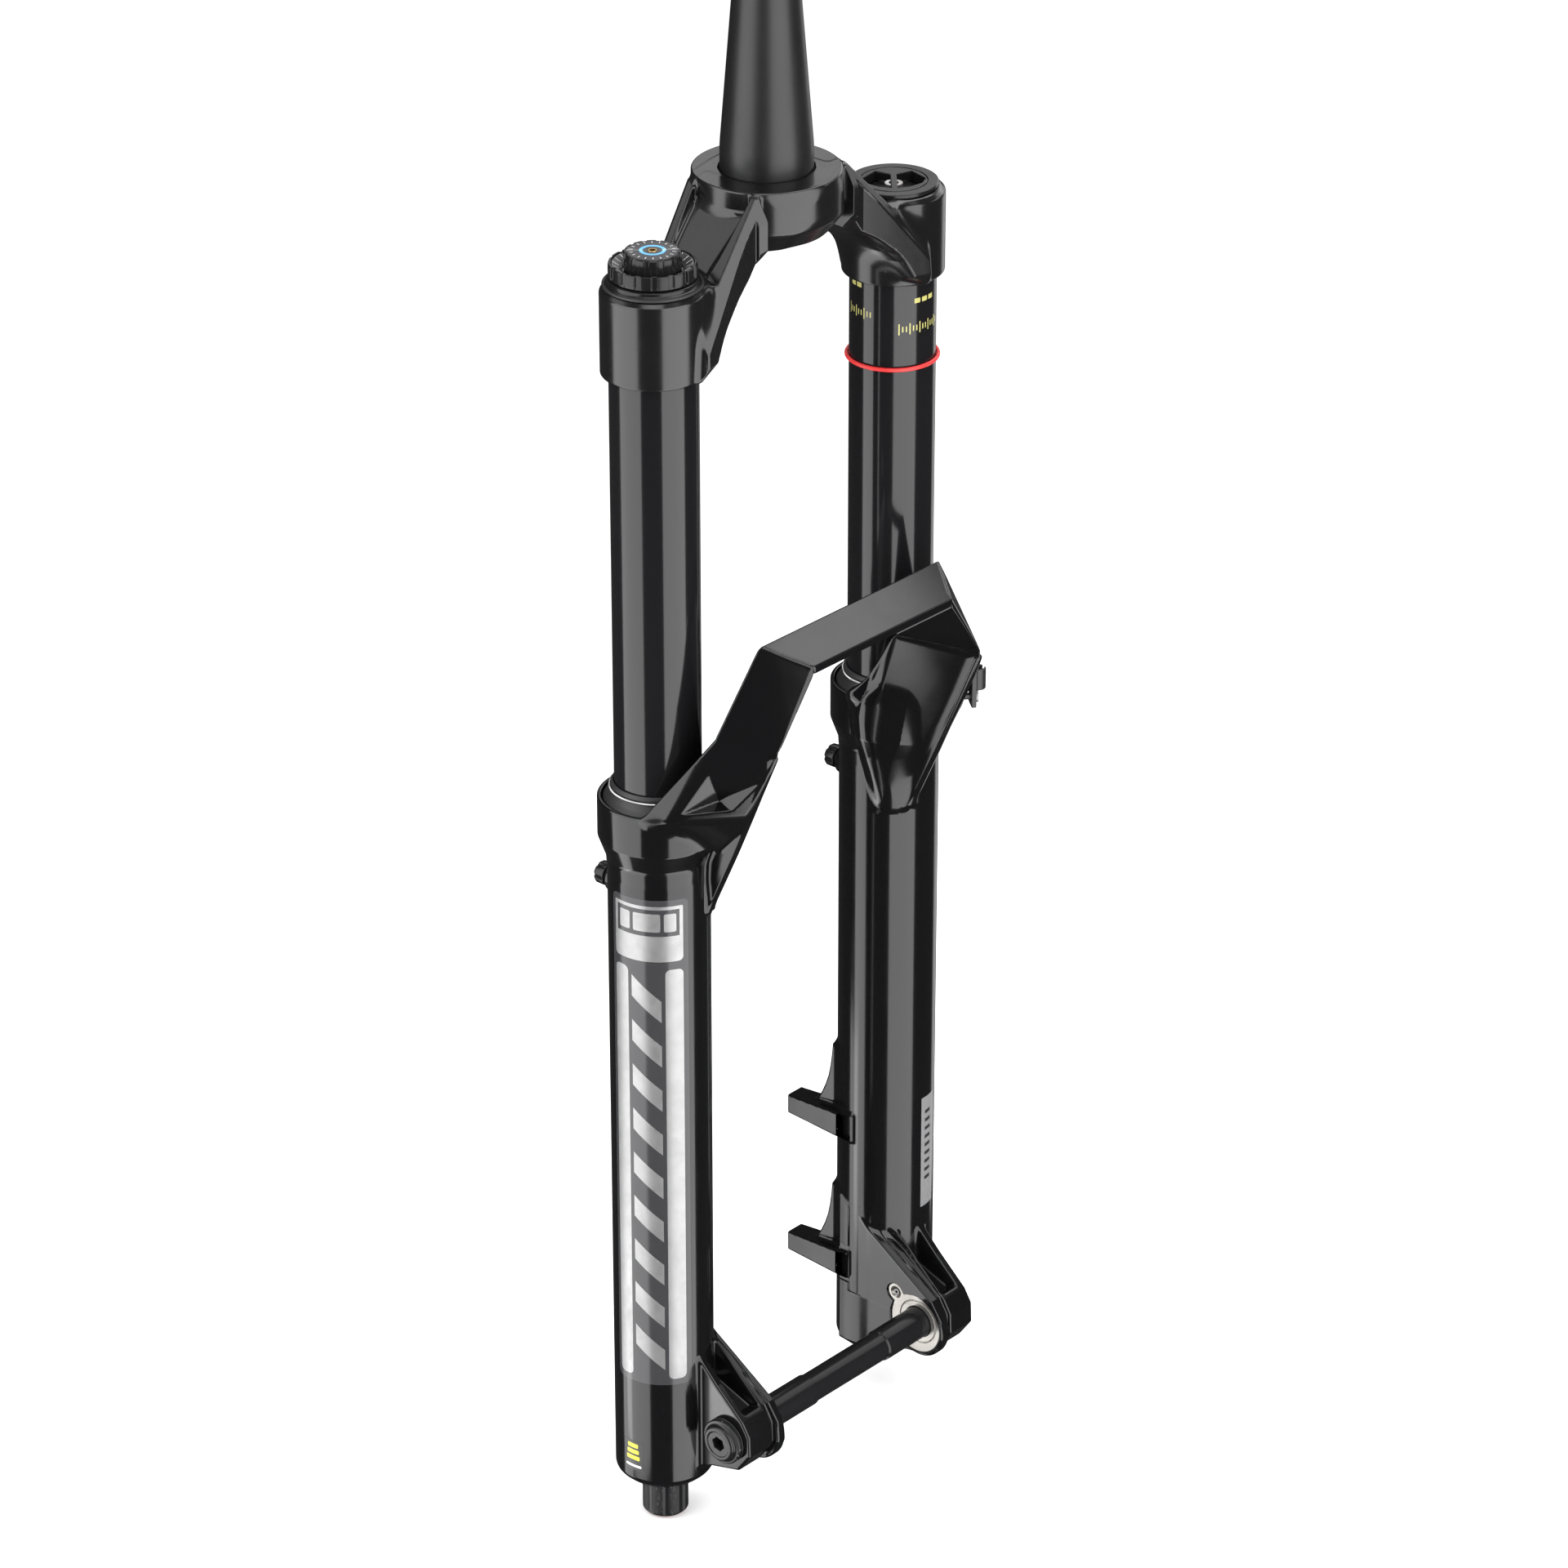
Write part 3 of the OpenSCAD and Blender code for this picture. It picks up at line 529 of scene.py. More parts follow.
def join(name, objs):
    """Joins mesh objects into one piece, keeping their normals."""
    bpy.ops.object.select_all(action="DESELECT")
    for o in objs:
        o.select_set(True)
    bpy.context.view_layer.objects.active = objs[0]
    bpy.ops.object.join()
    objs[0].name = name
    objs[0].data.name = name
    return objs[0]


# ---- lower casting

UP = {  # corners of an upright of the arch, drawn for +X
    "top_rear": (58.9, -47.6, -187.4), "top_front": (45.1, -66.7, -195.9),
    "lip": (45.1, -66.7, -199.5), "under": (49.5, -45.5, -195.5),
    "outer": (82.6, -42.9, -225), "ridge": (66.6, -66.2, -229), "inner": (49.6, -30, -226),
    "elbow": (67.2, -65.6, -232.5), "root_in": (49.6, -8, -262), "root_out": (100.0, -17, -264),
    "shelf_out": (95.5, -29, -264), "shelf_in": (71.5, -51, -263.5),
    "belly": (66, -40, -284), "deep": (80, -24, -286),
}


def corners(names):
    return [UP[n] for n in names.split()]


BAR = corners("top_rear top_front lip under")
arch_bar = hull_field([(-x, y, z) for x, y, z in BAR] + BAR, 0.9)
upright_top = hull_field(BAR + corners("outer ridge inner"), 0.9)
upright_base = hull_field(
    corners("outer ridge inner elbow root_in root_out shelf_out shelf_in belly deep"), 0.9)
pocket = hull_field([(100, -28.5, -261.5), (88.5, -42.5, -232), (68, -66, -239), (77, -57, -261.5),
    (76.5, -40.5, -256)], 0.5)
fairing = hull_field([(49.8, -29.5, -227), (67.2, -65, -233), (51.1, -12.8, -262), (51.1, -12.8, -284),
    (56.7, -15.6, -302), (61, -20.5, -318), (66.5, -42, -285), (68, -27.2, -317), (68, -42, -285),
    (69, -64.5, -233), (70, -20, -318), (70, -20, -262), (60, -8, -262)], 0.9)
gusset_outline = [(-64.8, -232), (-42, -285), (-27.2, -317), (-20, -318), (-20, -255), (-40, -235)]
LEG_PATH = fillet_path([(24.6, RIM_Z - 3), (24.6, RIM_Z, 0.5), (RING_R, RIM_Z, 0.9),
    (RING_R, -282.6, 1.6), (23.0, -292.2, 10), (LEG_R, -300, 12), (LEG_R, FOOT_Z + 3.4, 4),
    (18.8, FOOT_Z, 1.5), (4, FOOT_Z)], 10)
BLEND = 14.0                            # widest fillet between the arch and the leg
SIDE_PATH = [q for q in LEG_PATH if q[0] > RING_R - 1e-6 or q[1] < -282 and q[0] > 22.4]
LOW_PATH = [q for q in LEG_PATH if q[1] < -400]


def radius_at(path, z):
    """Radius of a part of the leg's outline at a height."""
    r, h = np.array(sorted(path, key=lambda q: q[1])).T
    return np.interp(z, h, r)


def leg_field(x, y, z):
    side = off_leg(x, y) - radius_at(SIDE_PATH, z)
    return smax(side, z - RIM_Z, 0.9)


def arch_field(x, y, z):
    """Arch, uprights and gussets of one side, without the leg."""
    f = smin(arch_bar(x, y, z), upright_top(x, y, z), 1.0)
    f = smin(f, upright_base(x, y, z), 1.0)
    web = smax(outline_distance(y, z, gusset_outline), slab(x, 65.6, 69.4), 0.8)
    f = smin(smin(f, web, 2.0), fairing(x, y, z), 2.5)
    return smax(f, -pocket(x, y, z), 0.6)


def top_field(x, y, z):
    blend = BLEND - 10.2 * np.clip((x - 56) / 11, 0, 1)
    f = smin(arch_field(x, y, z), leg_field(x, y, z), blend)
    cup = off_leg(x, y) - 24.6
    cup = np.maximum(cup, RIM_Z - 3 - z)
    return smax(f, -cup, 0.6)


def outside_bore(x, y):
    return off_leg(x, y) > 20.3


def near_arch(p):
    x, y, z = p.T
    return (arch_field(x, y, z) < BLEND + 0.1) & (x > -0.01) & outside_bore(x, y)


FACET_X, FACET_TOP, FACET_LOW, FACET_REAR = 54.2, -529.0, -576.0, -2.2
HUB_RING = (-44.0, -579.4)              # (y, z) of the dropout's round face
PLATE_AT, EAR_AT = (-42.6, -578.0), (-30.5, -566.0)     # (y, z) of the axle insert and its ear
AXLE_AT = (AXLE_Y, AXLE_Z)
BUTTON_AT = (LEG_X, RELIEF_Z)           # (x, z) of a relief button
SLOT = (-571.5, -552.0)                 # height of the flat beside the lower post
inner_plate = [(4, -527), (-52.4, -562.6), (-58.4, -571), (-58.8, -581), (-52, -590.5), (-35, -594.8),
    (-24, -601), (4, -604)]
outer_plate = [(-10, -532), (-28.5, -541.8), (-38, -551), (-53.4, -564.5), (-57.4, -571), (-57.8, -581),
    (-51, -590.5), (-35, -594.8), (-24, -600), (-10, -603)]
step_plate = [(-10, -536), (-30, -547), (-51, -563.5), (-55.8, -571), (-56.2, -581), (-49.5, -589.5),
    (-34, -593.5), (-10, -602)]
pocket_cut = [(-20, -556), (-45.5, -565.2), (-60, -560), (-60, -530), (-20, -530)]
post_outline = [(36.5, -4.6), (36.5, 4.4), (36, 5), (6, 6.4), (-4, 6.4), (-4, -6.4), (6, -6.4),
    (36, -5)]
web_outline = [(23, 4), (20.4, 8), (18, 12.5), (16, 17), (14.3, 22), (13, 28), (12.2, 34), (11.6, 40),
    (4, 40), (4, 0), (23, 0)]
POSTS = [-490.2, -564.4]


def dropout_field(x, y, z, flat=FACET_X):
    rib = smax(outline_distance(y, z, inner_plate), slab(x, flat, 59.6), 0.8)
    rib = smin(rib, smax(apart(y, z, HUB_RING) - 14.9, slab(x, HUB_X, 60), 0.8), 1.0)
    step = smax(outline_distance(y, z, step_plate), slab(x, 58, 76), 0.8)
    plate = smax(outline_distance(y, z, outer_plate), slab(x, 62.2, DROP_X), 1.0)
    cut = smax(outline_distance(y, z, pocket_cut), slab(x, 63.5, 74), 1.6)
    return smin(smin(rib, smax(step, -cut, 0.7), 0.6), smax(plate, -cut, 0.7), 0.6)


def posts_field(x, y, z):
    f = None
    for pz in POSTS:
        lean = np.clip((36.5 - y) / 38.7, 0, 1)
        bar = smax(outline_distance(y, z - pz - 2.3 * lean, post_outline),
            slab(x, 54.5 - 3.0 * lean, 64.5), 0.9)
        web = smax(outline_distance(y, z - pz, web_outline), slab(x, 57.4, 61.6), 1.0)
        g = smin(bar, web, 1.8)
        hole = np.hypot(x - 59.5, z - pz) - 2.5
        hole = np.maximum(hole, 18 - y)
        g = smax(g, -hole, 0.4)
        f = g if f is None else np.minimum(f, g)
    return f


def tube_field(x, y, z):
    side = off_leg(x, y) - radius_at(LOW_PATH, z)
    return smax(side, FOOT_Z - z, 0.5)


def lower_field(air_side):
    flat = FACET_X if air_side else HUB_X

    def field(x, y, z):
        f = smin(tube_field(x, y, z), dropout_field(x, y, z, flat), 2.2)
        facet = np.maximum(np.maximum(x - flat, y - FACET_REAR), slab(z, FACET_LOW, FACET_TOP))
        facet = np.maximum(facet, 15.2 - apart(y, z, HUB_RING))
        if air_side:
            posts = posts_field(x, y, z)
            f = smin(f, posts, 2.5)
            slot = np.maximum(np.maximum(x - flat, -3 - y), slab(z, *SLOT))
            slot = np.maximum(slot, -0.6 - posts)
            facet = np.minimum(facet, np.maximum(slot, 0.6 - posts))
        f = smax(f, -facet, 0.3)
        bore = apart(y, z, AXLE_AT)
        if not air_side:
            return smax(f, -(bore - 7.6), 0.5)
        seat = np.minimum(apart(y, z, PLATE_AT) - 14.75, apart(y, z, EAR_AT) - 4.75)
        f = smax(f, -np.maximum(seat, x - HUB_X - 2.6), 0.3)
        return smax(f, -np.maximum(bore - 10.05, x - HUB_X - 17), 0.3)
    return field


def keep_low(air_side):
    flat, rear = (FACET_X, 20) if air_side else (HUB_X, FACET_REAR + 1)

    def keep(p):
        x, y, z = p.T
        f = dropout_field(x, y, z, flat)
        if air_side:
            f = np.minimum(f, posts_field(x, y, z))
        free = outside_bore(x, y) | (z < FOOT_Z + 9)
        facet = (x < FACET_X + 1) & (y < rear) & (z < FACET_TOP + 1) & (z > FACET_LOW - 1)
        return free & (f < 2.7) | facet
    return keep


def boss_field(x, y, z):
    cone = apart(x, z, BUTTON_AT) - (7.6 - 0.055 * y)
    cone = smax(cone, y - 22, 0.6)
    f = smin(cone, off_leg(x, y) - LEG_R, 2.0)
    return smax(f, -(apart(x, z, BUTTON_AT) - 4.1), 0.3)


def near_boss(p):
    x, y, z = p.T
    return (apart(x, z, BUTTON_AT) < 10.2) & (y > 10)


top_part = mirrored(surface(top_field, (-1.6 * COARSE, -70, -322), (104, -4, -184), 0.64, near_arch))
low_air = surface(lower_field(True), (52, -62, -609), (82, 39, -446), 0.6, keep_low(True))
low_damper = flipped(surface(lower_field(False), (52, -62, -609), (82, 8, -520), 0.6, keep_low(False)))
bosses = mirrored(surface(boss_field, (LEG_X - 12, 9, RELIEF_Z - 12), (LEG_X + 12, 24, RELIEF_Z + 12),
    0.5, near_boss))


def leg_tube(side):
    """Turned leg, open where the flat facet of the dropout is cut into its inner side."""
    shrink = [(r - 0.015 * (r > 25 or z < RIM_Z - 4), z) for r, z in LEG_PATH]
    at = [i for i, q in enumerate(shrink) if q[1] > FACET_TOP][-1] + 1
    shrink[at:at] = [(LEG_R - 0.015, z) for z in (FACET_TOP, SLOT[1], SLOT[0], FACET_LOW)]
    obj = lathe("leg", shrink, (side * LEG_X, LEG_Y), 192)
    bm = bmesh.new()
    bm.from_mesh(obj.data)
    gone = []
    for face in bm.faces:
        c = face.calc_center_median() / MM
        rear = 30 if side > 0 and SLOT[0] < c.z < SLOT[1] else FACET_REAR - 0.3
        if side * c.x > 0 and abs(c.x) < FACET_X - 0.3 and c.y < rear and FACET_LOW < c.z < FACET_TOP:
            gone.append(face)
    bmesh.ops.delete(bm, geom=gone, context="FACES")
    bm.to_mesh(obj.data)
    bm.free()
    return obj


casting = new_object("casting_details", *merge([top_part, low_air, low_damper, bosses]))
lower_casting = join("lower_casting_visual", [leg_tube(-1), leg_tube(1), casting])
piece(lower_casting, "lower_unit", "casting_gloss", "casting", "lower_casting")


# ---- crown

arm_outline = [(-4, -1.5), (29, -1.5), (56.4, -30.4), (70, -31.5), (72, -66), (62.6, -62), (58, -54),
    (54.6, -49.6), (50.4, -45.6), (44.5, -40.5), (38, -36.3), (31, -32.6), (24, -29.6), (12, -26.6),
    (-4, -26)]
pocket_outline = [(20, 8), (20, -10.5), (31, -10.5), (55, -29.5), (64, -35), (64, 8)]
recess_outline = [(31.6, -9.5), (57, -36.5), (80, -60), (80, -72), (31.6, -72)]
TRAVEL = 170.0


def arm_field(x, y, z):
    side = outline_distance(x, z, arm_outline)
    sweep = 0.26 * np.maximum(x - 36, 0)
    arm = smax(side, slab(y, -33, 24), 0.8)
    arm = smax(arm, 0.31 * (np.minimum(x, 32.4) - 31.6) - 0.95 * (y + sweep + 23.7), 0.4)
    arm = smax(arm, -0.66 * z - 0.75 * y - 34.3 - 0.9 * np.maximum(x - 30.5, 0), 0.6)
    arm = smax(arm, (y + 0.227 * (x - 30) - 19) / 1.0255, 2.0)
    arm = smax(arm, 0.369 * x - 0.802 * y + 0.469 * z - 25.2, 0.4)
    well = smax(outline_distance(x, z, pocket_outline),
        np.maximum(-16.6 - y, (y + 0.227 * (x - 30) - 13.8) / 1.0255), 3.0)
    arm = smax(arm, -well, 1.0)
    rim = np.clip(1.0 + side, 0, 1.0)
    recess = smax(outline_distance(x, z, recess_outline), (y + sweep + 22.3 - rim) / 1.2, 0.4)
    arm = smax(arm, -recess, 0.4)
    room = upright_base(x, y, z - TRAVEL) - 1.2      # for the arch at full travel
    arm = smax(arm, -room, 0.4)
    neck = np.hypot(x, y) - 32 - np.minimum(z + 18.4, 0) * 0.7
    return smax(arm, -smax(smax(x - 27.0, -neck, 2.0), y + 3, 0.5), 0.5)


def crown_field(x, y, z):
    ring = np.hypot(x, y)
    drum = smax(smax(ring - 32, slab(z, -27, 0), 0.8), (ring - 32 - (z + 18.4) * 0.7) / 1.22, 0.3)
    drum = smin(drum, smax(ring - 25.5, slab(z, -26, -6), 1.2), 1.5)
    f = smin(drum, arm_field(x, y, z), 2.6)
    side = off_leg(x, y)
    socket = smax(side - SOCKET_R, slab(z, SOCKET_Z, CAP_Z), 0.9)
    socket = smax(socket, (side - SOCKET_R + 2.3 + (z - CAP_Z)) * 0.7071, 0.5)
    f = smin(f, socket, 5.0)
    f = smax(f, -(side - STAN_R - 0.12), 0.3)
    return smax(f, -(ring - 20.5), 0.3)


crown_part = mirrored(surface(crown_field, (-1.3 * COARSE, -36, -70), (101, 34, 2), 0.52,
    lambda p: p[:, 0] > -0.01))
crown = new_object("crown_visual", *crown_part)
piece(crown, "upper_unit", "crown_satin", "crown", "crown")


# ---- tubes, seals and rings

def closed(points):
    """Closed turned outline: the start is repeated at the end."""
    return points + [points[0][:2]]


STEER_TOP = mm_box("steerer_tube")[1][2]
steerer = lathe("steerer_visual",
    closed([(16.5, -26), (20.4, -26), (20.4, -1), (19.9, -0.5), (19.9, 10, 60), (14.3, 80, 120),
    (14.3, STEER_TOP, 0.4), (11.9, STEER_TOP, 0.4), (11.9, 76, 20), (16.5, 4, 20)]), (0, 0), 192)
piece(steerer, "upper_unit", "steerer_satin", "steerer", "steerer_tube")


def stanchion(side, name, node):
    bottom, top = stan_lo[2], stan_hi[2]
    tube = lathe(name,
        closed([(16.5, bottom, 0.4), (STAN_R - 1.0, bottom, 0.4), (STAN_R, bottom + 1.5, 1.5),
        (STAN_R, top, 0.4), (16.5, top, 0.4)]), (side * LEG_X, LEG_Y), 192)
    return piece(tube, "upper_unit", "stanchion_gloss", "stanchion", node)


stanchion(-1, "damper_stanchion_visual", "damper_stanchion")
stanchion(1, "air_stanchion_visual", "air_stanchion")


def pair(name, outline, segments=192, warp=None):
    """The same turned piece on both legs, as one object."""
    both = [lathe(name, outline, (side * LEG_X, LEG_Y), segments, warp=warp) for side in (-1, 1)]
    return join(name, both)


SEAL_TOP = mm_box("wiper_seals")[1][2]
wipers = pair("wiper_seals_visual",
    closed([(19.05, RIM_Z - 12), (23.98, RIM_Z - 12, 0.3), (23.98, RIM_Z - 1.1, 0.5),
    (23.3, RIM_Z - 0.1, 0.6), (22.2, RIM_Z + 1.0, 1.0), (20.7, RIM_Z + 3.4, 0.8),
    (20.55, RIM_Z + 3.9, 0.2), (20.3, RIM_Z + 4.1, 0.2), (20.28, RIM_Z + 5.1, 0.2),
    (20.55, RIM_Z + 5.4, 0.2), (20.55, RIM_Z + 6.1, 0.3), (19.8, SEAL_TOP, 0.3),
    (19.25, SEAL_TOP - 0.1, 0.2), (19.05, SEAL_TOP - 1.0, 0.3)]))
piece(wipers, "lower_unit", "seal_rubber", "rubber", "wiper_seals")


def torus(name, ring_r, wire_r, z, centre, segments=192, ripple=0, around=20):
    """Ring of round wire; ripple is the number of coils that show on it."""
    a = np.arange(segments) * 2 * math.pi / segments
    b = np.arange(around) * 2 * math.pi / around
    wire = wire_r + (0.10 * np.cos(a * ripple) if ripple else 0 * a)
    rr = ring_r + wire[:, None] * np.cos(b)[None]
    v = np.stack([centre[0] + rr * np.cos(a)[:, None], centre[1] + rr * np.sin(a)[:, None],
        z + wire[:, None] * np.sin(b)[None]], -1).reshape(-1, 3)
    q = [(i * around + j, (i + 1) % segments * around + j,
        (i + 1) % segments * around + (j + 1) % around, i * around + (j + 1) % around)
        for i in range(segments) for j in range(around)]
    return new_object(name, v, q)


spring_lo, spring_hi = mm_box("garter_springs")
SPRING_Z = (spring_lo[2] + spring_hi[2]) / 2
springs = join("garter_springs_visual",
    [torus("spring", 20.95, 0.5, SPRING_Z, (s * LEG_X, LEG_Y), 960, 160) for s in (-1, 1)])
piece(springs, "lower_unit", "spring_steel", "steel", "garter_springs")

sag_lo, sag_hi = mm_box("sag_ring")
SAG_Z = (sag_lo[2] + sag_hi[2]) / 2
sag = torus("sag_ring_visual", 19.95, 0.92, SAG_Z, (LEG_X, LEG_Y))
piece(sag, "travel_ring", "sag_rubber", "sag", "sag_ring")


# ---- top caps and dials

D_CENTRE = (-LEG_X, LEG_Y)
A_CENTRE = (LEG_X, LEG_Y)
damper_cap = lathe("damper_top_cap_visual", [(2.6, -60), (16.48, -60, 0.4), (16.48, CAP_Z - 5.2),
    (18.98, CAP_Z - 5.2), (18.98, CAP_Z), (20.2, CAP_Z, 0.2), (20.2, CAP_Z + 1.5, 0.5),
    (19.5, CAP_Z + 1.9, 0.4), (19.2, CAP_Z + 2.3, 0.3), (19.2, CAP_Z + 3.3, 0.5),
    (18.4, CAP_Z + 3.7, 0.4), (6, CAP_Z + 3.7), (6, CAP_Z + 9.2, 0.3), (3.04, CAP_Z + 9.2, 0.2),
    (3.04, -46), (2.6, -46), (2.6, -60)], D_CENTRE, 192)
piece(damper_cap, "upper_unit", "anodised_black", "knob", "damper_top_cap")


def flute_warp(count, r_out, depth, z_low, z_high, shape=0.35, fade=0.4):
    """Cuts a ring of square notches into the outside of a turned knob."""
    def warp(r, t, z):
        wave = np.clip((np.cos(t * count) - shape) * 5 + 0.5, 0, 1)
        band = np.clip((z - z_low) / fade, 0, 1) * np.clip((z_high - z) / fade, 0, 1)
        outer = np.clip((r - (r_out - 1.7)) / 1.0, 0, 1)
        return r - depth * wave * band * outer
    return warp


hs_lo, hs_hi = mm_box("high_speed_knob")
HB, HT = hs_lo[2], hs_hi[2]
high_knob = lathe("high_speed_knob_visual", [(6.05, HB), (18.0, HB, 0.3), (18.6, HB + 0.5, 0.4),
    (18.68, HB + 1.4, 0.5), (18.68, HT - 1.2, 0.4), (18.3, HT, 0.4), (17.35, HT, 0.25),
    (17.3, HB + 2.8), (6.05, HB + 2.8), (6.05, HB)], D_CENTRE, 640, steps=4,
    warp=flute_warp(16, 18.7, 1.1, HB + 0.9, HT + 3, 0.5))
piece(high_knob, "high_speed_dial", "anodised_black", "knob", "high_speed_knob")

dial = lathe("high_speed_dial_visual",
    closed([(12.7, HB + 2.85), (17.25, HB + 2.85), (17.25, HT - 0.5, 0.2), (16.4, HT - 0.5, 0.3),
    (12.7, HT - 2.9, 0.2)]), D_CENTRE, 160)
piece(dial, "high_speed_dial", "tick_ring_silver", "dial", "high_speed_dial_ring")

ls_lo, ls_hi = mm_box("low_speed_knob")
LT = ls_hi[2]
low_knob = lathe("low_speed_knob_visual", [(0, ls_lo[2]), (3, ls_lo[2], 0.3), (3, HT - 0.95),
    (6.4, HT - 0.95), (6.4, HT - 3), (11.8, HT - 3, 0.4), (12.15, HT - 2.4, 0.3),
    (12.15, LT - 0.7, 0.35), (11.6, LT, 0.35), (10.95, LT, 0.15), (10.9, LT - 0.6),
    (0, LT - 0.6)], D_CENTRE, 640, steps=4,
    warp=flute_warp(12, 12.15, 0.8, HT - 2.2, LT + 3, 0.45))
piece(low_knob, "low_speed_dial", "anodised_black", "knob", "low_speed_knob")

insert = lathe("low_speed_insert_visual",
    closed([(2.1, LT - 0.58), (10.85, LT - 0.58), (10.85, LT + 0.02, 0.15), (2.1, LT + 0.05, 0.15)]),
    D_CENTRE, 128)
piece(insert, "low_speed_dial", "anodised_grey", "grey", "low_speed_dial_insert")


def hex_prism_field(a, b, r, turn=0.0):
    """Distance to a hexagon of corner radius r in two coordinates."""
    f = None
    for i in range(6):
        t = math.radians(turn + 30 + i * 60)
        g = a * math.cos(t) + b * math.sin(t) - r * math.cos(math.radians(30))
        f = g if f is None else np.maximum(f, g)
    return f


def screw_field(x, y, z):
    u, w = x + LEG_X, y - LEG_Y
    f = smax(np.hypot(u, w) - 2.05, slab(z, LT - 0.6, LT + 0.2), 0.2)
    f = np.minimum(f, smax(np.hypot(u, w) - 1.98, slab(z, LT - 3.4, LT), 0.2))
    return smax(f, -smax(hex_prism_field(u, w, 1.45), LT - 1.9 - z, 0.1), 0.1)


centre_screw = new_object("low_speed_screw_visual",
    *surface(screw_field, (-LEG_X - 4, LEG_Y - 4, LT - 4), (-LEG_X + 4, LEG_Y + 4, LT + 1), 0.13))
piece(centre_screw, "low_speed_dial", "brass", "brass", "low_speed_centre_screw")

AT = mm_box("air_cap")[1][2]
cap_pocket = [(1.4, -9.8), (1.4, 6.1), (7.8, 10.0), (13.6, 1.3), (11.8, -4.0), (6.5, -8.4)]


def air_cap_field(x, y, z):
    u, w = x - LEG_X, y - LEG_Y
    ring = np.hypot(u, w)
    f = smax(ring - 18, slab(z, AT - 4.3, AT - 0.5), 0.4)
    f = np.minimum(f, smax(ring - 19.4, slab(z, CAP_Z + 0.12, AT), 0.5))
    f = np.minimum(f, smax(ring - 8.6, slab(z, AT - 8.5, AT - 1), 0.3))
    groove = smax(slab(ring, 14.4, 14.8), AT - 0.6 - z, 0.1)
    f = smax(f, -groove, 0.15)
    front = math.radians(-137.5)        # two pockets, either side of the spoke at the front
    across = np.abs(u * math.sin(front) - w * math.cos(front))
    well = outline_distance(across, -u * math.cos(front) - w * math.sin(front), cap_pocket)
    floor = AT - 3.4 - 0.06 * ring
    well = smax(well, floor - z, 0.4)
    f = smax(f, -well, 0.45)
    return smax(f, -smax(ring - 3.95, z - (AT - 5.0), 0.1), 0.1)


air_cap = new_object("air_cap_visual", *surface(air_cap_field, (LEG_X - 20.5, LEG_Y - 20.5, AT - 9.2),
    (LEG_X + 20.5, LEG_Y + 20.5, AT + 0.8), 0.3))
piece(air_cap, "air_valve_cover", "anodised_black", "knob", "air_cap")

air_top = lathe("air_top_cap_visual", closed([(6.02, -58), (16.48, -58, 0.4), (16.48, CAP_Z - 5.2),
    (18.98, CAP_Z - 5.2), (18.98, CAP_Z - 2.8, 0.3), (8.66, CAP_Z - 2.8, 0.3), (8.66, CAP_Z - 6.8),
    (6.02, CAP_Z - 6.8)]), A_CENTRE, 160)
piece(air_top, "upper_unit", "anodised_black", "knob", "air_top_cap")


# ---- axle, rebound knob, buttons

AX0, AX1 = axle_lo[0], axle_hi[0]


def axle_field(x, y, z):
    r = apart(y, z, AXLE_AT)
    head = smax(r - 10.8, slab(x, AX0 + 2.4, -DROP_X - 0.02), 0.7)
    head = smin(head, smax(r - 8.6, slab(x, AX0, -DROP_X - 1), 1.2), 1.0)
    neck = np.maximum(slab(x, AX0 + 4.2, AX0 + 5.0), 10.1 - r)
    head = smax(head, -neck, 0.25)
    body = smax(r - 7.5, slab(x, AX0 + 1, AX0 + 20), 0.2)
    f = np.minimum(head, body)
    socket = smax(hex_prism_field(y - AXLE_Y, z - AXLE_Z, 3.5, 12), x - (AX0 + 5), 0.2)
    dish = smax(r - 6.2, x - (AX0 + 0.45), 0.3)
    return smax(smax(f, -dish, 0.3), -socket, 0.25)


axle_head = surface(axle_field, (AX0 - 0.8, AXLE_Y - 12, AXLE_Z - 12),
    (AX0 + 16.2, AXLE_Y + 12, AXLE_Z + 12), 0.3, lambda p: p[:, 0] < AX0 + 15.5)
axle_bar = lathe("axle_bar", [(7.49, AX0 + 14), (7.49, -23.2, 0.15), (6.85, -22.4, 0.15),
    (6.85, 26.4, 0.15), (7.49, 27.2, 0.15), (7.49, AX1 - 1.2, 0.4), (6.6, AX1, 0.3), (4.6, AX1, 0.2),
    (4.6, AX0 + 16), (0, AX0 + 16)], centre=(AXLE_Y, AXLE_Z), segments=128, along_x=True)
axle = join("axle_visual", [axle_bar, new_object("axle_head", *axle_head)])
piece(axle, "wheel_axle", "anodised_black", "knob", "axle")

rk_lo, rk_hi = mm_box("rebound_knob")
RB, RT = rk_lo[2], rk_hi[2]


def rebound_warp(r, t, z):
    body = np.clip((z - RB - 0.8) / 0.8, 0, 1) * np.clip((RT - 2.2 - z) / 0.6, 0, 1)
    outer = np.clip((r - 9.4) / 0.6, 0, 1)
    flute = np.clip(np.cos(t * 8) * 1.2 - 0.1, 0, 1)
    knurl = np.maximum(np.sin(t * 52 + z * 5.0), np.sin(t * 52 - z * 5.0))
    return r - body * outer * (0.75 * flute + 0.10 * (1 - flute) * (1 + knurl))


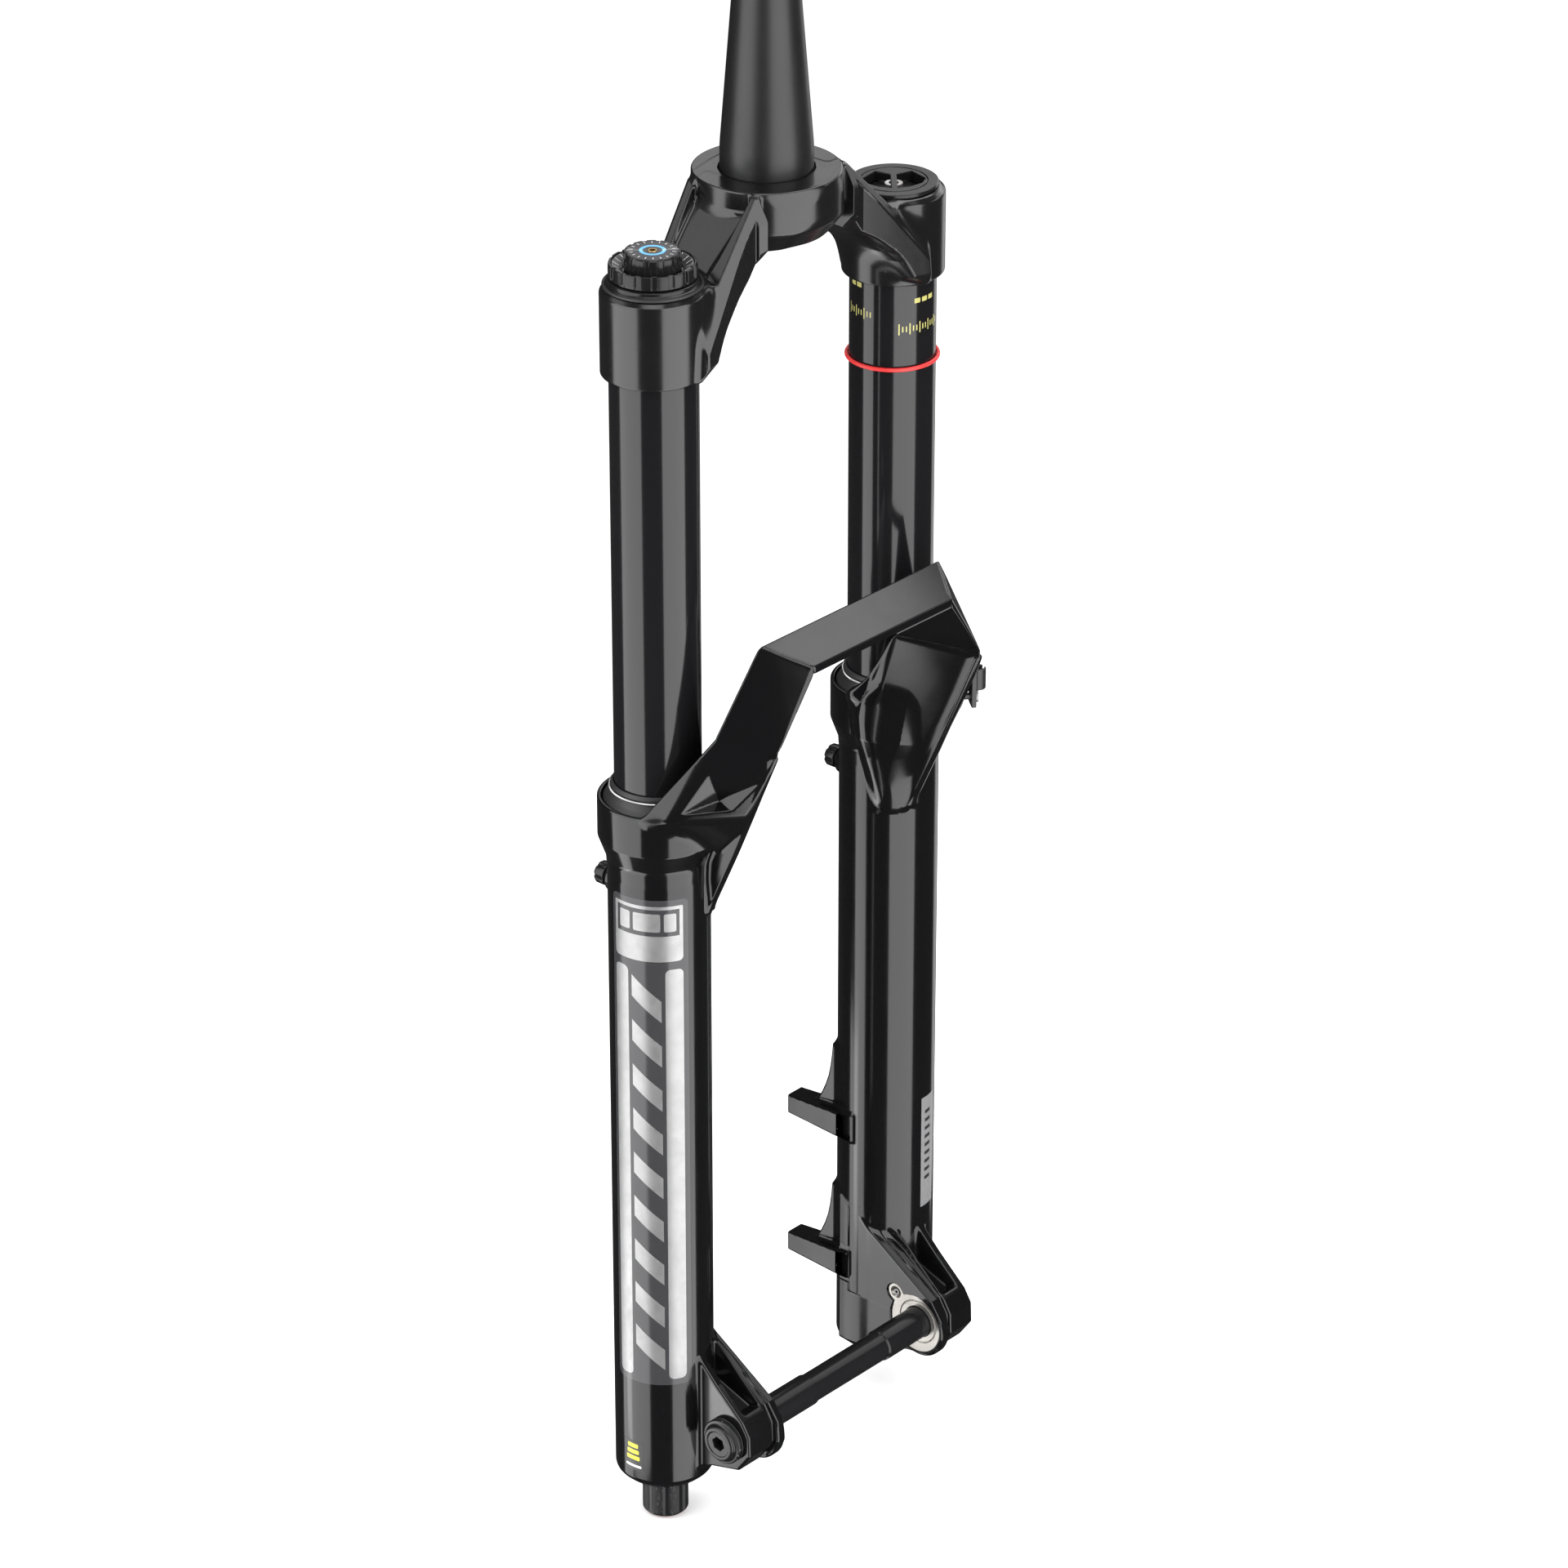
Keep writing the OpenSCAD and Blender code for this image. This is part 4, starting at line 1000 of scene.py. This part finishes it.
side_steps = [(10.7, z) for z in np.arange(RB + 1.4, RT - 0.8, 0.22)]
rebound = lathe("rebound_knob_visual", [(2.42, RB), (7.5, RB, 0.1), (7.5, RB + 0.75), (8.7, RB + 0.75),
    (8.7, RB, 0.1), (9.8, RB, 0.3), (10.5, RB + 0.9, 0.4)] + side_steps + [(10.6, RT - 0.5, 0.2),
    (10.1, RT, 0.2), (9.0, RT, 0.2), (9.0, RT - 10.5), (2.42, RT - 10.5),
    (2.42, RB)], D_CENTRE, 720, steps=3, warp=rebound_warp)
piece(rebound, "rebound_dial", "anodised_black", "knob", "rebound_knob")


def button(side, name, node, body):
    y1 = mm_box(node)[1][1]

    def warp(r, t, z):
        notch = np.clip(np.cos(t * 6) * 1.8 - 0.7, 0, 1)
        return r - 0.75 * notch * np.clip((r - 4.3) / 0.5, 0, 1) * np.clip((z - y1 + 5.3) / 0.3, 0, 1)

    obj = lathe("btn", [(0, 16.2), (3.98, 16.2, 0.3), (3.98, y1 - 5.6), (5.1, y1 - 5.6, 0.3),
        (5.28, y1 - 5.1, 0.2), (5.28, y1 - 0.9, 0.3), (4.7, y1, 0.3), (3.4, y1, 0.15),
        (3.3, y1 - 0.9, 0.2), (2.6, y1 - 0.9, 0.2), (2.5, y1, 0.15),
        (0, y1)], segments=240, steps=3, warp=warp)
    obj.data.transform(Matrix.Translation((side * LEG_X * MM, 0, RELIEF_Z * MM))
        @ Matrix.Rotation(math.radians(-90), 4, "X"))
    obj.data.update()
    obj.name = name
    obj.data.name = name
    return piece(obj, body, "anodised_black", "knob", node)


button(-1, "relief_button_damper_visual", "relief_button_damper", "relief_valve_damper")
button(1, "relief_button_air_visual", "relief_button_air", "relief_valve_air")


# ---- insert and hose guide

def insert_field(x, y, z):
    plate = apart(y, z, PLATE_AT) - 14.6
    ear = apart(y, z, EAR_AT) - 4.6
    f = smax(smin(plate, ear, 3.0), slab(x, HUB_X, HUB_X + 4.6), 0.35)
    bore = apart(y, z, AXLE_AT)
    f = np.minimum(f, smax(bore - 10, slab(x, HUB_X + 1, HUB_X + 18), 0.4))
    f = smax(f, -np.maximum(bore - 7.56, x - HUB_X - 16.4), 0.6)
    groove = smax(slab(bore, 10.4, 10.9), x - HUB_X - 0.3, 0.1)
    f = smax(f, -groove, 0.15)
    return smax(f, -(apart(y, z, EAR_AT) - 2.9 + (x - HUB_X) * 0.9), 0.2)


insert_part = surface(insert_field, (HUB_X - 0.8, -59, -594), (HUB_X + 19, -24, -560), 0.3)
axle_insert = new_object("axle_insert_visual", *insert_part)
piece(axle_insert, "lower_unit", "bare_aluminium", "bare", "axle_insert")

screw_lo, screw_hi = mm_box("hose_guide_screw")
GUIDE_TURN = math.radians(39)
GUIDE_OUT = np.array([math.cos(GUIDE_TURN), -math.sin(GUIDE_TURN), 0])
GUIDE_SIDE = np.array([math.sin(GUIDE_TURN), math.cos(GUIDE_TURN), 0])
GUIDE_SEAT = (screw_lo + screw_hi) / 2 + GUIDE_OUT * 0.94


def guide_field(x, y, z):
    """Moulded block with an open hook; u runs down, s sideways and w outwards from its seat."""
    p = np.stack([x, y, z]) - GUIDE_SEAT[:, None]
    u, s, w = -p[2], GUIDE_SIDE @ p, GUIDE_OUT @ p
    foot = smax(smax(slab(u, -14, 4.2), np.abs(s) - 4.15, 0.9), slab(w, 0.02, 2.2), 0.3)
    drum = smax(np.hypot(s, w - 3.4) - 3.6, slab(u, -14, -4), 0.5)
    f = smin(foot, drum, 0.8)
    f = smax(f, -(np.hypot(s, w - 3.9) - 2.1), 0.3)
    slot = np.maximum(np.abs(s - 1.2) - 1.0, 3.4 - w)
    f = smax(f, -slot, 0.4)
    f = smax(f, 0.02 - w, 0.1)
    return smax(f, -(np.hypot(s, u) - 1.6), 0.2)


hose_guide = new_object("hose_guide_visual",
    *surface(guide_field, GUIDE_SEAT - 15, GUIDE_SEAT + 16, 0.3))
piece(hose_guide, "lower_unit", "guide_plastic", "guide", "hose_guide")


# ---- printed films on the tubes

def skin(name, side, patches, lift, radius):
    """Thin printed patches lying on a tube. Each patch is lines of (angle, z) points, with angles in
    degrees from the front of the bicycle towards its outside."""
    verts, faces, nrm = [], [], []
    for lines in patches:
        base, wide = len(verts), len(lines[0])
        for angle, z in itertools.chain(*lines):
            t = math.radians(angle)
            out = (side * math.sin(t), -math.cos(t))
            verts.append((side * LEG_X + (radius + lift) * out[0], LEG_Y + (radius + lift) * out[1], z))
            nrm.append((*out, 0))
        faces += [(a, a + 1, a + wide + 1, a + wide) for j in range(len(lines) - 1)
            for a in range(base + j * wide, base + j * wide + wide - 1)]
    return new_object(name, verts, outward(faces, verts, nrm), nrm)


def film(name, side, shapes, lift, radius=LEG_R):
    """Printed shapes, each as rows of (z, first angle, last angle)."""
    patches = []
    for rows in shapes:
        cols = max(2, math.ceil(max(abs(b - a) for z, a, b in rows) / 2.0))
        patches.append([[(a + (b - a) * i / cols, z) for i in range(cols + 1)] for z, a, b in rows])
    return skin(name, side, patches, lift, radius)


def rounded(z0, z1, a0, a1, r):
    """Rows of a rectangle with round corners of r millimetres."""
    rows = []
    for i in range(7):
        d = r * (1 - math.cos(math.pi / 2 * i / 6))
        cut = (r - math.sqrt(max(0.0, r * r - (r - d) ** 2))) * math.degrees(1 / LEG_R)
        rows.append((z0 + d, a0 + cut, a1 - cut))
    return rows + [(z0 + z1 - z, a, b) for z, a, b in reversed(rows)]


def slant(z0, z1, a0, a1, rise):
    """One slanted band as a strip that climbs smoothly from its first to its last angle."""
    cols = max(4, int(abs(a1 - a0) / 2))
    return [[(a0 + (a1 - a0) * i / cols, z + rise * i / cols) for z in (z0, z1)]
        for i in range(cols + 1)]


GROUND, MARK = 0.03, 0.06               # height of a film and of the print on it
FILM_TOP, FILM_END = RIM_Z - 41, FOOT_Z + 57
A_IN, A_OUT = 20.5, 104.0               # printed width of the panel, in degrees round the leg
base_film = film("panel_film", -1, [rounded(FILM_END, FILM_TOP, 14, 109, 3)], GROUND)
frame_top, frame_low = FILM_TOP - 3, FILM_TOP - 30
silver = [
    rounded(frame_low, frame_low + 12.5, A_IN, A_OUT, 2.0),
    rounded(frame_top - 1.6, frame_top, A_IN, A_OUT, 0.7),
    rounded(frame_low + 10, frame_top - 0.4, A_IN, A_IN + 4.2, 0.4),
    rounded(frame_low + 10, frame_top - 0.4, A_OUT - 4.2, A_OUT, 0.4),
    rounded(frame_low + 14.6, frame_top - 3.6, A_IN + 8, A_IN + 22, 0.8),
    rounded(frame_low + 14.6, frame_top - 3.6, A_IN + 26, A_OUT - 26, 0.8),
    rounded(frame_low + 14.6, frame_top - 3.6, A_OUT - 22, A_OUT - 8, 0.8),
    rounded(FILM_END + 3, frame_low - 4, A_IN, A_IN + 21, 2.5),
    rounded(FILM_END + 3, frame_low - 4, A_OUT - 19, A_OUT, 2.5),
]
bars = film("panel_bars", -1, silver, MARK)
slant_low, slant_high = FILM_END + 8, frame_low - 30
count = 9
pitch = (slant_high - slant_low) / (count - 1)
slants = skin("panel_slants", -1,
    [slant(z, z + 10.5, A_IN + 25.5, A_OUT - 23.5, 12)
    for z in (slant_low + i * pitch for i in range(count))], MARK, LEG_R)
panel_silver = join("panel_silver", [bars, slants])
for obj, key in ((base_film, "film"), (panel_silver, "silver")):
    piece(obj, "lower_unit", "casting_gloss", key)

badge_z = FOOT_Z + 9
badge = film("foot_badge_ground", -1, [rounded(badge_z, badge_z + 15.4, 73, 101, 0.5)], GROUND)
badge_mark = film("foot_badge_mark", -1,
    [rounded(badge_z + 5.4 + i * 3.2, badge_z + 7.6 + i * 3.2, 78 + i, 97 - i, 0.6) for i in range(3)],
    MARK)
badge_line = film("foot_badge_line", -1, [rounded(badge_z + 1.6, badge_z + 2.8, 76, 98, 0.3)], MARK)
for obj, key in ((badge, "ink"), (badge_mark, "yellow"), (badge_line, "pale")):
    piece(obj, "lower_unit", "casting_gloss", key)

label_low, label_high = -530.5, -472.5
side_label = film("side_label", 1, [rounded(label_low, label_high, -2.5, 23, 0.4)], GROUND)
label_bars = film("side_label_marks", 1,
    [rounded(label_high - 9 - i * 4.4, label_high - 7.2 - i * 4.4, 4, 15, 0.3) for i in range(9)], MARK)
for obj, key in ((side_label, "label"), (label_bars, "ink")):
    piece(obj, "lower_unit", "casting_gloss", key)


blocks = [rounded(z - 1.1, z + 1.1, a, a + 9, 0.3)
    for z, starts in ((-70.5, (-116, -104)), (-76.3, (-20, -8, 4))) for a in starts]
for z, first, last in ((-83, -121, -72), (-88.8, -42, 28)):
    for i, a in enumerate(range(first, last - 4, 5)):
        h = (2.6, 1.3, 1.3)[i % 3]
        blocks.append(rounded(z - h, z + h, a, a + 1.7, 0.2))
tube_print = film("tube_print", 1, blocks, GROUND, STAN_R)
piece(tube_print, "upper_unit", "stanchion_gloss", "ochre")


# ---- finishes of the carried-over nodes

NODE_FINISHES = {
    "rubber": "damper_cap_oring air_cap_oring air_piston_seal top_out_bumper bottom_out_bumper",
    "bare": "air_valve_body damper_tube compression_piston damper_seal_head air_seal_head",
    "brass": "air_valve_core rebound_piston",
    "spacer": "volume_spacers",
    "chrome": "compression_rod air_shaft damper_shaft",
    "blue": "floating_piston",
    "steel": "seal_head_circlips rebound_rod relief_springs",
    "foam": "foam_rings",
    "bronze": "upper_bushings lower_bushings",
    "grey": "air_piston",
    "glide": "rebound_glide_ring",
    "black_steel": "air_foot_bolt damper_foot_nut insert_screw hose_guide_screw",
    "copper": "crush_washers",
    "red": "rebound_knob_ring",
}
for key, nodes in NODE_FINISHES.items():
    for part in nodes.split():
        finish(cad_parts[part], key)


# ---- low-speed dial's blue ring

blue_ring = lathe("low_speed_blue_ring",
    closed([(4.1, LT + 0.05), (5.6, LT + 0.05), (5.6, LT + 0.12, 0.03), (4.1, LT + 0.12, 0.03)]),
    D_CENTRE, 96)
piece(blue_ring, "low_speed_dial", "anodised_grey", "blue")


# ---- camera, floor and lights

YAW, PITCH = -48.53, 26.84
CAMERA = Vector((-1.78252, -1.58504, 0.91640))
cam_data = bpy.data.cameras.new("camera")
cam_data.lens = 139.07
cam_data.sensor_width = 36
cam_data.clip_end = 60
camera = bpy.data.objects.new("camera", cam_data)
camera.location = CAMERA
camera.rotation_euler = (math.radians(90 - PITCH), 0, math.radians(YAW))
bpy.context.scene.collection.objects.link(camera)
bpy.context.scene.camera = camera

FLOOR_Z = min(c[2] for c in start_box) - 0.0015
bpy.ops.mesh.primitive_plane_add(size=24, location=(2.0, 2.0, FLOOR_Z))
floor = bpy.context.object
floor.name = "floor"
floor_mat, floor_nt, floor_bsdf = new_material("floor_white")
floor_tone = spread(floor_nt, noise(floor_nt, node(floor_nt, "TexCoord", "Object"), 3.0), 0.90, 0.915)
wire(floor_nt, floor_bsdf.inputs["Base Color"], floor_tone)
floor_bsdf.inputs["Roughness"].default_value = 0.95
floor_bsdf.inputs["Specular IOR Level"].default_value = 0.0
floor.data.materials.append(floor_mat)
floor.visible_glossy = False
floor.visible_shadow = False

RIGHT = Vector((math.cos(math.radians(YAW)), math.sin(math.radians(YAW)), 0))
AWAY = Vector((-RIGHT.y, RIGHT.x, 0))
NEAR_LEG = Vector((-LEG_X * MM, LEG_Y * MM, 0))


def area_light(name, width, height, radiance):
    data = bpy.data.lights.new(name, "AREA")
    data.shape = "RECTANGLE"
    data.size, data.size_y = width, height
    data.energy = radiance * width * height * math.pi
    obj = bpy.data.objects.new(name, data)
    bpy.context.scene.collection.objects.link(obj)
    obj.visible_camera = False
    return obj


def panel(name, p0, p1, low, high, radiance):
    """Upright soft panel between two points (right, away) beside the near leg."""
    a, b = (NEAR_LEG + RIGHT * p[0] + AWAY * p[1] for p in (p0, p1))
    mid = (a + b) / 2 + Vector((0, 0, (low + high) / 2))
    across = (b - a).normalized()
    facing = Vector((0, 0, 1)).cross(across)
    if facing.dot(mid - NEAR_LEG - RIGHT * 0.05 - AWAY * 0.06) < 0:
        across, facing = -across, -facing
    turn = Matrix((across, (0, 0, 1), facing)).transposed()
    obj = area_light(name, (b - a).length, high - low, radiance)
    obj.matrix_world = Matrix.Translation(mid) @ turn.to_4x4()


panel("panel_right", (0.12, -0.34), (0.47, -0.08), -0.87, 0.35, 3.2)
panel("panel_left", (-0.22, -0.36), (-0.48, 0.02), -0.87, 0.35, 3.0)
panel("panel_low", (-0.50, -0.10), (-0.56, 0.16), -1.10, -0.78, 2.6)
panel("panel_edge", (0.66, 0.66), (0.42, 0.92), -1.0, 0.35, 0.9)


def overhead(name, location, target, size, radiance):
    obj = area_light(name, *size, radiance)
    obj.location = location
    obj.rotation_euler = (Vector(target) - Vector(location)).to_track_quat("-Z", "Y").to_euler()


overhead("softbox_top", (0.2, -0.1, 1.6), (0, 0, -0.3), (1.4, 1.4), 1.2)
overhead("softbox_back", (0.72, 0.62, 0.47), (0, 0, 0), (0.62, 0.40), 1.1)
overhead("softbox_trough", (-0.38, 0.60, 0.72), (0, 0, 0), (0.50, 0.50), 1.3)
overhead("softbox_axle", (0.66, -0.10, 0.16), (0, -0.04, -0.58), (0.90, 0.24), 1.5)
overhead("softbox_crown", (-0.42, -0.30, 0.86), (-0.06, 0, 0), (0.55, 0.55), 2.2)
overhead("softbox_arch", (0.436, -0.01, 0.658), (-0.2, -0.05, -0.12), (0.46, 0.62), 2.9)

world = bpy.data.worlds.new("studio")
bpy.context.scene.world = world
world.use_nodes = True
wn = world.node_tree
back = wn.nodes["Background"]
back.inputs["Color"].default_value = (1, 1, 1, 1)
wire(wn, back.inputs["Strength"], node(wn, "MapRange", "Result", To_Min=1.08, To_Max=0.045,
    Value=node(wn, "LightPath", "Is Glossy Ray")))
bpy.context.scene.view_settings.view_transform = "Standard"
bpy.context.scene.view_settings.look = "None"
